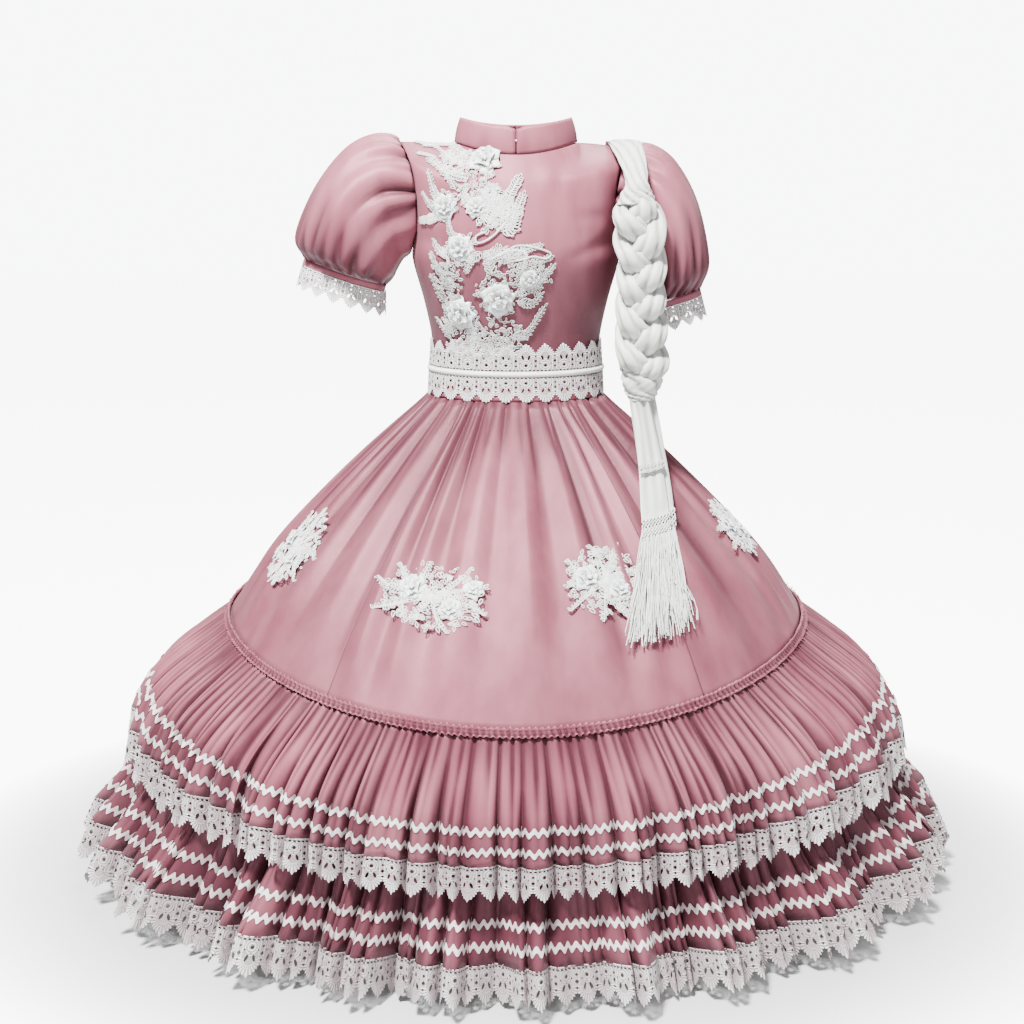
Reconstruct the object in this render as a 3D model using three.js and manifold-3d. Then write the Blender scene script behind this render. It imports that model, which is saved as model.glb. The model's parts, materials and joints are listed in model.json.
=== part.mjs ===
// Escaramuza dress with its own braided sash, in millimetres: +X the wearer's left, -Y the front, +Z up.
// Shapes are worked out from the waist line and then moved so that the origin is midway between the shoulder tops.
import * as THREE from "three";
import Module from "manifold-3d";

const wasm = await Module();
wasm.setup();

const SHOULDER_Z = 346; // shoulder tops above the waist line
const CLOTH = 1.8; // satin wall
const LACE = 1.3; // lace wall
const SEAM = 0.25; // half of the gap between two sewn pieces
const TURN = 2 * Math.PI;

const satin = { color: 0xc98f9a, roughness: 0.45 };
const whiteLace = { color: 0xf2f1ee, roughness: 0.9 };
const whiteSatin = { color: 0xe9ebe4, roughness: 0.5 };

const dress = new THREE.Group();
dress.name = "escaramuza_dress";

// ---- numbers and curves ----

const mix = (a, b, t) => a + (b - a) * t;
const clamp = (x, lo, hi) => Math.min(Math.max(x, lo), hi);
const spread = (from, to, n) => Array.from({ length: n + 1 }, (_, i) => mix(from, to, i / n));
const plus = (p, d, k) => [p[0] + d[0] * k, p[1] + d[1] * k, p[2] + d[2] * k];
const unit = (d) => {
  const l = Math.hypot(...d) || 1;
  return d.map((x) => x / l);
};
const cross = (a, b) => [
  a[1] * b[2] - a[2] * b[1],
  a[2] * b[0] - a[0] * b[2],
  a[0] * b[1] - a[1] * b[0],
];

// The row at t (0 to 1) of a table of evenly spaced rows, on a smooth curve through them.
function along(rows, t) {
  const last = rows.length - 1;
  const s = clamp(t, 0, 1) * last;
  const i = Math.min(Math.floor(s), last - 1);
  const f = s - i;
  const row = (k) => rows[clamp(k, 0, last)];
  return rows[0].map((_, c) => {
    const [p, q, r, w] = [row(i - 1)[c], row(i)[c], row(i + 1)[c], row(i + 2)[c]];
    const m0 = i > 0 ? (r - p) / 2 : r - q;
    const m1 = i < last - 1 ? (w - q) / 2 : r - q;
    const f2 = f * f;
    const f3 = f2 * f;
    return q * (2 * f3 - 3 * f2 + 1) + m0 * (f3 - 2 * f2 + f) + r * (3 * f2 - 2 * f3) + m1 * (f3 - f2);
  });
}

// ---- meshes ----

function add(name, points, faces, look) {
  let volume = 0;
  for (const [a, b, c] of faces) {
    const n = cross(points[b], points[c]);
    volume += points[a][0] * n[0] + points[a][1] * n[1] + points[a][2] * n[2];
  }
  const index = faces.flatMap(([a, b, c]) => (volume < 0 ? [a, c, b] : [a, b, c]));
  const geometry = new THREE.BufferGeometry();
  geometry.setAttribute("position", new THREE.Float32BufferAttribute(points.flat(), 3));
  geometry.setIndex(index);
  geometry.translate(0, 0, -SHOULDER_Z);
  geometry.computeVertexNormals();
  const mesh = new THREE.Mesh(geometry, new THREE.MeshStandardMaterial({ ...look, side: THREE.FrontSide }));
  mesh.name = name;
  dress.add(mesh);
}

// Points and faces of a closed wall between two grids of points; ring joins the last column to the first.
function wallBody(outer, inner, ring) {
  const rows = outer.length;
  const cols = outer[0].length;
  const points = [...outer.flat(), ...inner.flat()];
  const out = (j, i) => j * cols + (i % cols);
  const inn = (j, i) => rows * cols + out(j, i);
  const faces = [];
  const quad = (a, b, c, d) => faces.push([a, b, c], [a, c, d]);
  const spans = ring ? cols : cols - 1;
  for (let i = 0; i < spans; i++) {
    for (let j = 0; j < rows - 1; j++) {
      quad(out(j, i), out(j, i + 1), out(j + 1, i + 1), out(j + 1, i));
      quad(inn(j, i), inn(j + 1, i), inn(j + 1, i + 1), inn(j, i + 1));
    }
    quad(out(0, i), inn(0, i), inn(0, i + 1), out(0, i + 1));
    quad(out(rows - 1, i), out(rows - 1, i + 1), inn(rows - 1, i + 1), inn(rows - 1, i));
  }
  if (!ring)
    for (let j = 0; j < rows - 1; j++) {
      quad(out(j, 0), out(j + 1, 0), inn(j + 1, 0), inn(j, 0));
      quad(out(j, cols - 1), inn(j, cols - 1), inn(j + 1, cols - 1), out(j + 1, cols - 1));
    }
  return { points, faces };
}

const centreLine = (p) => [0, 0, p[2] - 60];

// Outward normal of surface(u, v), and its unit direction along u; side is +1 or -1.
function frameAt(surface, u, v, side) {
  const e = 1e-4;
  const a = surface(u + e, v);
  const b = surface(u - e, v);
  const c = surface(u, Math.min(v + e, 1));
  const d = surface(u, Math.max(v - e, 0));
  const pu = [a[0] - b[0], a[1] - b[1], a[2] - b[2]];
  const pv = [c[0] - d[0], c[1] - d[1], c[2] - d[2]];
  return { normal: unit(cross(pu, pv)).map((x) => x * side), along: unit(pu) };
}

function outwardSide(surface, u, v, hub) {
  const p = surface(u, v);
  const h = hub(p);
  const { normal } = frameAt(surface, u, v, 1);
  return normal[0] * (p[0] - h[0]) + normal[1] * (p[1] - h[1]) + normal[2] * (p[2] - h[2]) > 0 ? 1 : -1;
}

// A cloth piece whose outer face is `lift` outside surface(u, v). With teeth, each other column stops short
// by that share of v at the last row, which gives a scalloped edge.
function cloth(name, look, surface, us, vs, given = {}) {
  const { thick = CLOTH, ring = false, lift = 0, teeth = 0, hub = centreLine, keep = (p) => p } = given;
  const side = outwardSide(surface, us[us.length >> 1], (vs[0] + vs[vs.length - 1]) / 2, hub);
  const columns = ring ? us.slice(0, -1) : us;
  const grid = (depth) =>
    vs.map((v, j) =>
      columns.map((u, i) => {
        const bite = j === vs.length - 1 && i % 2 ? teeth : 0;
        const edge = ring ? 0 : i === 0 ? SEAM : i === columns.length - 1 ? -SEAM : 0;
        const { normal, along: run } = frameAt(surface, u, v - bite, side);
        return keep(plus(plus(surface(u, v - bite), normal, lift - depth), run, edge));
      }),
    );
  const { points, faces } = wallBody(grid(0), grid(thick), ring);
  add(name, points, faces, look);
}

// ---- folds ----

const FOLD_DEPTHS = [1, 0.78, 1.14, 0.9, 1.22, 0.84, 1.05];

// Height of a gathered fold at s turns round the wearer: broad rounded crests between narrow hollows.
function fold(s, count) {
  const p = s * count;
  const k = Math.floor(p + 1e-6);
  const f = p - k;
  const depth = (n) => FOLD_DEPTHS[(((n % count) + count) % count) % FOLD_DEPTHS.length];
  return mix(depth(k), depth(k + 1), f) * Math.sin(TURN * f + Math.PI / 6);
}

// Angle of s turns from the front, with folds a little wider in some places than in others.
const angleOf = (s, count) => TURN * (s + (0.22 * Math.sin(7 * TURN * s) + 0.14 * Math.sin(3 * TURN * s)) / count);

// A level of the skirt: half width, side height, front depth and height, back depth and height.
function level([a, zs, bf, zf, bb, zb], angle) {
  const s = Math.sin(angle);
  const c = Math.cos(angle);
  return [a * s, -(c > 0 ? bf : bb) * c, zs * s * s + (c > 0 ? zf : zb) * c * c];
}

// ---- skirt yoke and flounces ----

const SKIRT_FOLDS = 32;
// Rows from waist to seam: half width, side z, front depth, front z, back depth, back z.
const SKIRT = [
  [140, -42.4, 103, -42.4, 103, -42.4],
  [226, -121, 195, -130, 190, -126],
  [318, -211, 290, -232, 280, -220],
  [402, -300, 375, -338, 362, -312],
  [468, -392, 450, -443, 435, -405],
];
const UPPER_FOLDS = 56;
// Rows from seam to lace tips, with the same columns as the yoke.
const UPPER = [
  [468.4, -392.5, 450.4, -443.9, 435.2, -406.1],
  [596, -497, 487, -560, 470, -520],
  [652, -632, 502, -668, 490, -622],
];
const LOWER_FOLDS = 64;
const LOWER = [
  [466.2, -394.2, 448.2, -445.2, 433.2, -407.2],
  [560, -506, 458, -560, 440, -525],
  [624, -640, 470, -680, 456, -640],
  [742, -790, 536, -812, 522, -776],
];
const UPPER_HEM = 0.77; // share of the upper flounce that is satin; lace below
const LOWER_HEM = 0.88;
const GORE_TURNS = [-10 / 96, 10 / 96, 28 / 96, 48 / 96, 68 / 96, 86 / 96];
const PANEL_TURNS = [-0.125, 0.125, 0.375, 0.625, 0.875];
const PANEL_NAMES = ["front", "left", "back", "right"];

function pleated(levels, count, height, rise) {
  return (s, v) => {
    const angle = angleOf(s, count);
    const out = unit([Math.sin(angle), -Math.cos(angle), rise * v]);
    return plus(level(along(levels, v), angle), out, height(v) * fold(s, count));
  };
}

const skirt = pleated(SKIRT, SKIRT_FOLDS, (v) => (1.6 + 24 * v) * (1 - v), 0.6);
const upper = pleated(UPPER, UPPER_FOLDS, (v) => 13 * v, 0.3);
const lower = pleated(LOWER, LOWER_FOLDS, (v) => 14 * v * v, 0.3);

["front", "left", "back_left", "back_right", "right"].forEach((where, i) => {
  const [from, to] = [GORE_TURNS[i], GORE_TURNS[i + 1]];
  const columns = Math.round((to - from) * 3 * SKIRT_FOLDS);
  cloth(`skirt_${where}`, satin, skirt, spread(from, to, columns), spread(0, 1, 3));
});
PANEL_NAMES.forEach((where, i) => {
  const turns = (folds) => spread(PANEL_TURNS[i], PANEL_TURNS[i + 1], (folds * 3) / 4);
  cloth(`upper_flounce_${where}`, satin, upper, turns(UPPER_FOLDS), spread(0, UPPER_HEM, 2));
  cloth(`upper_lace_${where}`, whiteLace, upper, turns(UPPER_FOLDS), [UPPER_HEM + 0.003, 1], {
    thick: LACE, teeth: 0.06,
  });
  cloth(`lower_flounce_${where}`, satin, lower, turns(LOWER_FOLDS), spread(0, LOWER_HEM, 3));
  cloth(`lower_lace_${where}`, whiteLace, lower, turns(LOWER_FOLDS), [LOWER_HEM + 0.002, 1], {
    thick: LACE, teeth: 0.035,
  });
});

// Ruched strip over the seam: it follows the last of the yoke and the first of the upper flounce.
const HEADER_UP = 0.019;
const HEADER_DOWN = 0.026;
function header(s, v) {
  const down = 2 * v - 1;
  const row = down < 0 ? along(SKIRT, 1 + down * HEADER_UP) : along(UPPER, down * HEADER_DOWN);
  return level(row, TURN * s);
}
cloth("flounce_header_front", satin, header, spread(-0.25, 0.25, 24), [0, 0.5, 1], { lift: CLOTH + 1.25 });
cloth("flounce_header_back", satin, header, spread(0.25, 0.75, 24), [0, 0.5, 1], { lift: CLOTH + 1.25 });

// ---- bodice ----

// Rows from waist to shoulder: half width, edge y, centre depth, edge z, centre z, roundness.
const BODICE_FRONT = [
  [136.8, 0, 101, 2, 2, 1],
  [133.5, 0, 103, 45, 45, 1],
  [145, 0, 117, 105, 105, 1],
  [160, 0, 128, 160, 157, 1],
  [162, 0, 129, 184, 186, 1],
  [151, -45.4, 122, 215, 222, 0.9],
  [150, -57.9, 110, 262, 258, 0.85],
  [160, -46.5, 95, 315, 292, 0.8],
  [178, 0, 75, 348, 322, 0.8],
];
const BODICE_BACK = [
  [136.8, 0, 101, 2, 2, 1],
  [133.5, 0, 100, 45, 45, 1],
  [145, 0, 107, 105, 105, 1],
  [160, 0, 112, 160, 160, 1],
  [162, 0, 112, 184, 188, 1],
  [151, -45.4, 110, 215, 225, 0.9],
  [150, -57.9, 106, 262, 268, 0.85],
  [160, -46.5, 92, 315, 313, 0.8],
  [178, 0, 65, 348, 350, 0.8],
];
const NECK = { side: 95, sideZ: 343, tip: 178, tipZ: 347 };

// Shoulder seams and neckline of one half, u from -1 to 1.
function topEdge(u, depth, centreZ) {
  if (Math.abs(u) >= 0.5) {
    const q = (Math.abs(u) - 0.5) * 2;
    return [Math.sign(u) * mix(NECK.side, NECK.tip, q), 0, mix(NECK.sideZ, NECK.tipZ, q)];
  }
  const s = Math.sin(Math.PI * u);
  const c = Math.cos(Math.PI * u);
  return [NECK.side * s, -depth * c, NECK.sideZ * s * s + centreZ * c * c];
}

function bodice(rows, facing) {
  const last = rows.length - 1;
  return (u, v) => {
    const [a, edgeY, depth, edgeZ, centreZ, round] = along(rows, v);
    const whole = (Math.PI / 2) * round;
    const middle = (Math.cos(u * whole) - Math.cos(whole)) / (1 - Math.cos(whole));
    const p = [
      (a * Math.sin(u * whole)) / Math.sin(whole),
      mix(edgeY, -depth, middle),
      mix(edgeZ, centreZ, middle),
    ];
    const t = clamp(v * last - (last - 1), 0, 1);
    const q = topEdge(u, rows[last][2], rows[last][4]);
    return [mix(p[0], q[0], t), facing * mix(p[1], q[1], t), mix(p[2], q[2], t)];
  };
}

const front = bodice(BODICE_FRONT, 1);
const back = bodice(BODICE_BACK, -1);
const bodiceRows = spread(0, 1, BODICE_FRONT.length - 1);
cloth("bodice_front", satin, front, spread(-1, 1, 12), bodiceRows, {
  keep: ([x, y, z]) => [x, Math.min(y, -SEAM), z],
});
const keepBehind = ([x, y, z]) => [x, Math.max(y, SEAM), z];
cloth("bodice_back_right", satin, back, spread(-1, 0, 6), bodiceRows, { keep: keepBehind });
cloth("bodice_back_left", satin, back, spread(0, 1, 6), bodiceRows, { keep: keepBehind });

// Stand collar, in two halves.
function collar(s, v) {
  const rows = [
    [95, 344.2, 75, 323.4, 65, 351.4],
    [86, 374, 66, 361, 60, 378],
  ];
  return level(along(rows, v), TURN * s);
}
cloth("collar_left", satin, collar, spread(0, 0.5, 12), [0, 1]);
cloth("collar_right", satin, collar, spread(0.5, 1, 12), [0, 1]);

// ---- waist ----

function waist(s, z) {
  const t = z > 0 ? z / 45 : 0;
  const below = z < 0 ? -z / 42 : 0;
  const a = mix(136.8, 133.5, t) + 2.5 * below;
  const bf = mix(101, 103, t) + 2 * below;
  const bb = mix(101, 100, t) + 2 * below;
  return level([a, z, bf, z, bb, z], TURN * s);
}
const waistAt = (from, to) => (s, v) => waist(s, mix(from, to, v));
cloth("waistband", satin, waistAt(1.4, -41.8), spread(0, 1, 26), [0, 1], { ring: true });
const WAIST_SCALLOPS = 25;
const scallops = spread(0, 1, 2 * WAIST_SCALLOPS);
const onWaist = { ring: true, thick: LACE, lift: LACE + 0.9, teeth: 0.2 };
cloth("waist_lace_upper", whiteLace, waistAt(3.6, 48), scallops, [0, 1], onWaist);
cloth("waist_lace_lower", whiteLace, waistAt(-3.6, -42), scallops, [0, 1], onWaist);
cloth("waist_braid", whiteLace, waistAt(3, -3), spread(0, 1, 26), [0, 1], { ring: true, thick: 3, lift: 5 });

// ---- sleeves ----

const ARMHOLE = { z: 266, high: 82, deep: 58 };
// Rows up the armhole edge: z, x.
const ARMHOLE_X = [
  [184, 162],
  [215, 151],
  [262, 150],
  [315, 160],
  [348, 178],
];
const SLEEVE_FOLDS = 12;
const SLEEVE_FOLD_HEIGHTS = [[0.8], [3.4], [2], [1.6], [3.4], [1.8]];
// Rows from armhole to cuff: outer edge x, outer edge z, inner edge x, inner edge z, half depth.
const SLEEVES = {
  left: [
    [178.6, 348, 162.6, 184, 58],
    [205, 352, 178, 165, 70],
    [245, 322, 186, 142, 84],
    [282, 255, 188, 124, 90],
    [300, 168, 184, 106, 84],
    [290, 124, 178, 94, 53],
  ],
  right: [
    [178.6, 348, 162.6, 184, 58],
    [212, 357, 176, 171, 72],
    [262, 336, 186, 153, 88],
    [312, 276, 192, 143, 96],
    [341, 205, 200, 136, 88],
    [331, 171, 205, 129, 54],
  ],
};
const BAND = 11;
const BAND_GAP = { left: 1.35, right: 0.6 };
const SLEEVE_LACE = 38;

function armholeX(z) {
  const i = clamp(ARMHOLE_X.findIndex(([h]) => h >= z), 1, ARMHOLE_X.length - 1);
  const [[z0, x0], [z1, x1]] = [ARMHOLE_X[i - 1], ARMHOLE_X[i]];
  return mix(x0, x1, clamp((z - z0) / (z1 - z0), 0, 1));
}

function sleeve(rows, mirror) {
  return (s, t) => {
    const [tx, tz, bx, bz, deep] = along(rows, t);
    const c = Math.cos(TURN * s);
    const n = Math.sin(TURN * s);
    const centre = [(tx + bx) / 2, 0, (tz + bz) / 2];
    const p = [centre[0] + ((tx - bx) / 2) * c, -deep * n, centre[2] + ((tz - bz) / 2) * c];
    const free = clamp(1 - t * (rows.length - 1), 0, 1);
    const seamX = armholeX(ARMHOLE.z + ARMHOLE.high * c) + 0.7;
    const [height] = along(SLEEVE_FOLD_HEIGHTS, t);
    const q = plus(p, unit([p[0] - centre[0], p[1], p[2] - centre[2]]), height * fold(s, SLEEVE_FOLDS));
    return [mirror * mix(q[0], seamX, free), q[1], q[2]];
  };
}

function sleeveEnd(rows, mirror, from, to, grow) {
  const [tx, tz, bx, bz, deep] = rows[rows.length - 1];
  const half = [(tx - bx) / 2, 0, (tz - bz) / 2];
  const down = unit([half[2], 0, -half[0]]);
  return (s, v) => {
    const k = 1 + (grow * v) / 60;
    const c = Math.cos(TURN * s) * k;
    const p = [(tx + bx) / 2 + half[0] * c, -deep * Math.sin(TURN * s) * k, (tz + bz) / 2 + half[2] * c];
    const q = plus(p, down, mix(from, to, v));
    return [mirror * q[0], q[1], q[2]];
  };
}

for (const where of ["left", "right"]) {
  const rows = SLEEVES[where];
  const mirror = where === "left" ? 1 : -1;
  const hub = (p) => [mirror * 240, 0, Math.max((rows[3][1] + rows[3][3]) / 2, p[2] - 40)];
  const cuffX = (mirror * (rows[5][0] + rows[5][2])) / 2;
  const onCuff = { ring: true, hub: (p) => [cuffX, 0, p[2]], lift: 1 };
  const puff = sleeve(rows, mirror);
  const band = sleeveEnd(rows, mirror, BAND_GAP[where], BAND, 0);
  const lace = sleeveEnd(rows, mirror, BAND + 0.4, BAND + SLEEVE_LACE, 5);
  cloth(`sleeve_${where}`, satin, puff, spread(0, 1, 36), [0, 0.2, 0.5, 0.8, 1], { ring: true, hub });
  cloth(`sleeve_band_${where}`, satin, band, spread(0, 1, 24), [0, 1], onCuff);
  cloth(`sleeve_lace_${where}`, whiteLace, lace, spread(0, 1, 26), [0, 1], { ...onCuff, thick: LACE, teeth: 0.2 });
}

// ---- applique ----

// A lobed patch lying `lift` outside surface: centre u and v, and its half sizes in u and v.
function applique(name, surface, [cu, cv, ru, rv], lift, thick) {
  const SIDES = 16;
  const side = outwardSide(surface, cu, cv, centreLine);
  const at = (k, i, up) => {
    const a = (TURN * i) / SIDES;
    const r = k === 1 ? 0.98 + 0.12 * Math.cos(8 * a) : k;
    const [u, v] = [cu + ru * r * Math.cos(a), cv + rv * r * Math.sin(a)];
    return plus(surface(u, v), frameAt(surface, u, v, side).normal, up);
  };
  const points = [];
  for (const up of [lift + thick, lift]) {
    points.push(at(0, 0, up === lift ? lift : lift + 1.6 * thick));
    for (const k of [0.5, 1]) for (let i = 0; i < SIDES; i++) points.push(at(k, i, up));
  }
  const half = 1 + 2 * SIDES;
  const faces = [];
  for (let i = 0; i < SIDES; i++) {
    const j = (i + 1) % SIDES;
    const [a, b, c, d] = [1 + i, 1 + j, 1 + SIDES + j, 1 + SIDES + i];
    faces.push([0, a, b], [a, d, c], [a, c, b]);
    faces.push([half, half + b, half + a], [half + a, half + c, half + d], [half + a, half + b, half + c]);
    faces.push([d, half + d, half + c], [d, half + c, c]);
  }
  add(name, points, faces, whiteLace);
}

applique("bodice_applique_upper", front, [-0.3, 0.73, 0.25, 0.13], 1, 2.2);
applique("bodice_applique_lower", front, [-0.17, 0.4, 0.3, 0.17], 1, 2.2);
const plainSkirt = (s, v) => level(along(SKIRT, v), TURN * s);
applique("skirt_applique_right", plainSkirt, [-0.183, 0.655, 0.034, 0.14], 4.2, 2);
applique("skirt_applique_front_right", plainSkirt, [-0.049, 0.67, 0.047, 0.125], 3.9, 2);
applique("skirt_applique_front_left", plainSkirt, [0.062, 0.64, 0.03, 0.09], 3.7, 2);
applique("skirt_applique_left", plainSkirt, [0.216, 0.64, 0.03, 0.09], 3.5, 2);

// ---- sash ----

// A closed tube of sections along a path; section(t) gives its points round the path point.
function tube(name, look, rings) {
  const sides = rings[0].length;
  const points = rings.flat();
  const faces = [];
  for (let j = 0; j < rings.length - 1; j++)
    for (let i = 0; i < sides; i++) {
      const [a, b] = [j * sides + i, j * sides + ((i + 1) % sides)];
      faces.push([a, b, b + sides], [a, b + sides, a + sides]);
    }
  const end = (rings.length - 1) * sides;
  for (let i = 1; i < sides - 1; i++) faces.push([0, i + 1, i], [end, end + i, end + i + 1]);
  if (name) add(name, points, faces, look);
  return { points, faces };
}

const ROUND = 7;
// Rings of an oval section, half widths w along X and h across the path in the YZ plane.
function ovalRings(path, ts) {
  return ts.map((t) => {
    const [x, y, z, w, h] = path(t);
    const a = path(Math.max(t - 1e-3, 0));
    const b = path(Math.min(t + 1e-3, 1));
    const run = unit([b[0] - a[0], b[1] - a[1], b[2] - a[2]]);
    const deep = unit(cross(run, [1, 0, 0]));
    const flat = unit(cross(deep, run));
    return Array.from({ length: ROUND }, (_, i) => {
      const q = (TURN * i) / ROUND;
      return plus(plus([x, y, z], flat, w * Math.cos(q)), deep, h * Math.sin(q));
    });
  });
}

// Rows down the strap: x, y, z, half width, half thickness.
const STRAP = [
  [166, 36, 348, 25, 3],
  [168, 0, 361, 26, 3.2],
  [171, -50, 343, 23, 4.5],
  [175, -94, 308, 17, 7],
  [178, -114, 284, 15, 10],
  [178, -116, 269.9, 22, 12],
];
tube("sash_strap", whiteSatin, ovalRings((t) => along(STRAP, t), spread(0, 1, 8)));

const BRAID_LINE = [
  [178, -116, 262],
  [184, -120, 170],
  [186, -118, 90],
  [191, -118, 0],
];
const BRAID_WIDE = 23;
const BRAID_DEEP = 15;
const BRAID_PLAITS = 1.75;
for (let k = 0; k < 3; k++) {
  const strand = (t) => {
    const q = TURN * (BRAID_PLAITS * t + k / 3);
    const [x, y, z] = along(BRAID_LINE, t);
    return [x + BRAID_WIDE * Math.sin(q), y + BRAID_DEEP * Math.sin(2 * q), z, 10.5, 8.4];
  };
  tube(`sash_strand_${k + 1}`, whiteSatin, ovalRings(strand, spread(0, 1, 18)));
}

const WRAP = [
  [191, -118, -7.6, 27, 15],
  [191.5, -118, -21, 23, 13],
  [192, -118.5, -34, 18, 9],
];
tube("sash_wrap", whiteSatin, ovalRings((t) => along(WRAP, t), spread(0, 1, 3)));

const SASH_X = 204; // where the sash hangs over the yoke

// A point of the yoke at x across and v down it, lift outside.
function lay(x, v, lift) {
  const row = along(SKIRT, v);
  const angle = Math.asin(clamp(x / row[0], -1, 1));
  const out = unit([Math.sin(angle), -Math.cos(angle), 0.9]);
  return plus(level(row, angle), out, lift);
}

const sashHub = (p) => [p[0], p[1] + 50, p[2] - 50];

// A hanging end of the sash: free from the wrap, then lying on the yoke.
function tail(name, shift, lift, wide, stop) {
  const start = [192 + shift, -106 - lift, -34.7];
  const surface = (s, v) => {
    // Rows down the tail: share lying on the yoke, place down the yoke, half width.
    const [landing, down, w] = along(
      [
        [0, 0.3, 14],
        [0.75, 0.35, wide * 0.85],
        [1, 0.42, wide],
        [1, stop, wide],
      ],
      v,
    );
    const lying = lay(SASH_X + shift + s * w, down, lift);
    return [0, 1, 2].map((k) => mix(start[k] + (k === 0 ? s * w : 0), lying[k], landing));
  };
  cloth(name, whiteSatin, surface, spread(-1, 1, 4), spread(0, 1, 6), { hub: sashHub });
}
tail("sash_tail_front", -5, 15.5, 21, 0.5);
tail("sash_tail_back", 6, 10.5, 22, 0.49);

function solidOf({ points, faces }) {
  let volume = 0;
  for (const [a, b, c] of faces) {
    const n = cross(points[b], points[c]);
    volume += points[a][0] * n[0] + points[a][1] * n[1] + points[a][2] * n[2];
  }
  const turned = faces.flatMap(([a, b, c]) => (volume < 0 ? [a, c, b] : [a, b, c]));
  const mesh = new wasm.Mesh({
    numProp: 3,
    vertProperties: new Float32Array(points.flat()),
    triVerts: new Uint32Array(turned),
  });
  mesh.merge();
  return new wasm.Manifold(mesh);
}

// Knotted band with its fringe: three-sided strands fused into a narrow strip, spreading as they hang.
function fringe(name, shift, lift, wide, top, strands) {
  const edge = (v, depth) => spread(-1, 1, 6).map((e) => lay(SASH_X + shift + e * wide, v, lift + depth));
  const sheet = (depth) => [edge(top, depth), edge(top + 0.05, depth)];
  const bodies = [solidOf(wallBody(sheet(1.6), sheet(-1.6), false))];
  for (let i = 0; i < strands; i++) {
    const across = mix(-1, 1, (i + 0.5) / strands);
    const long = 0.8 + 0.035 * Math.sin(i * 2.4) + 0.012 * Math.cos(i * 5.1);
    const rings = [0, 0.45, 1].map((t) => {
      const v = mix(top + 0.03, long, t);
      const x = SASH_X + shift - 4 * t + across * mix(wide - 2, 1.7 * wide, t);
      const p = lay(x, v, lift + 1.2 * Math.sin(i * 1.7) * t);
      const r = mix(1.1, 0.8, t);
      return [0, 1, 2].map((c) => {
        const q = (TURN * c) / 3 + 0.5;
        return [p[0] + r * Math.cos(q), p[1] + r * Math.sin(q), p[2] + 0.6 * r * Math.sin(q)];
      });
    });
    bodies.push(solidOf(tube("", whiteSatin, rings)));
  }
  const whole = wasm.Manifold.union(bodies);
  const { numProp, vertProperties, triVerts } = whole.getMesh();
  const points = [];
  for (let i = 0; i < vertProperties.length; i += numProp) {
    points.push([...vertProperties.slice(i, i + 3)]);
  }
  const faces = [];
  for (let i = 0; i < triVerts.length; i += 3) faces.push([...triVerts.slice(i, i + 3)]);
  add(name, points, faces, whiteSatin);
}
fringe("sash_fringe_front", -5, 14.6, 21, 0.5016, 19);
fringe("sash_fringe_back", 6, 9.6, 22, 0.4916, 14);

export default dress;
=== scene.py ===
import json
import math

import bmesh
import bpy
import numpy as np
from mathutils import Matrix, Vector

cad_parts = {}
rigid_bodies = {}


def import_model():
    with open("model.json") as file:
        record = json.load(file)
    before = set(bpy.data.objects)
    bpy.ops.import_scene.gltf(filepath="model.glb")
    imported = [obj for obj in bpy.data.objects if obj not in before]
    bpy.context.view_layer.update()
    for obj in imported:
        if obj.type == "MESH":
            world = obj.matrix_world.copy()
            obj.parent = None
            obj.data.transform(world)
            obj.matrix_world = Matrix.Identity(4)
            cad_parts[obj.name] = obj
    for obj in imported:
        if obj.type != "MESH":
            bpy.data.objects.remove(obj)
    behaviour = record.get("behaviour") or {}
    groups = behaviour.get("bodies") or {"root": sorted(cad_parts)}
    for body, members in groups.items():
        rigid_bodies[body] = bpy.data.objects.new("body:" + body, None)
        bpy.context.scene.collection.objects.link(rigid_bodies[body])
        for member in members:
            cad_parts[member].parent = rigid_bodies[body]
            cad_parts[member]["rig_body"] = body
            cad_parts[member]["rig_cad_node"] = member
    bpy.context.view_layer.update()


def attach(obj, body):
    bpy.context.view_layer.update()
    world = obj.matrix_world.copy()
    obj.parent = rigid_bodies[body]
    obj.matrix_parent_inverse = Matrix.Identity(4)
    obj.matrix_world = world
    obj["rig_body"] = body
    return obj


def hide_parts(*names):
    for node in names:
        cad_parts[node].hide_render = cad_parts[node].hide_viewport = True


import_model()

# Shapes are worked out in millimetres from the waist line and placed in the row frame, in metres.
SHOULDER_Z = 346.0
MM = 0.001
CLOTH = 1.5
TURN = 2 * math.pi
draw = np.random.default_rng(7)

# ---- camera ----

camera_data = bpy.data.cameras.new("camera")
camera_data.sensor_width = 36
camera_data.lens = 48.64
camera = bpy.data.objects.new("camera", camera_data)
camera.location = (-0.006, -2.2068, -0.056)
camera.rotation_euler = (math.radians(76.486), 0, 0)
bpy.context.scene.collection.objects.link(camera)
bpy.context.scene.camera = camera

# ---- numbers and curves ----


def mix(a, b, t):
    return a + (b - a) * t


def rise(lo, hi, x):
    t = np.clip((x - lo) / (hi - lo), 0, 1)
    return t * t * (3 - 2 * t)


def unit(d):
    return d / np.maximum(np.linalg.norm(d, axis=-1, keepdims=True), 1e-9)


def vec(*parts):
    return np.stack(np.broadcast_arrays(*parts), -1).astype(float)


def along(rows, t):
    """The row of a table at t (0 to 1), on a smooth curve through its evenly spaced rows."""
    rows = np.asarray(rows, float)
    last = len(rows) - 1
    s = np.clip(t, 0, 1) * last
    i = np.minimum(np.floor(s).astype(int), last - 1)
    f = (s - i)[..., None]
    p, q = rows[np.maximum(i - 1, 0)], rows[i]
    r, w = rows[i + 1], rows[np.minimum(i + 2, last)]
    m0 = np.where((i > 0)[..., None], (r - p) / 2, r - q)
    m1 = np.where((i < last - 1)[..., None], (w - q) / 2, r - q)
    f2, f3 = f * f, f * f * f
    return q * (2 * f3 - 3 * f2 + 1) + m0 * (f3 - 2 * f2 + f) + r * (3 * f2 - 2 * f3) + m1 * (f3 - f2)


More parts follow.
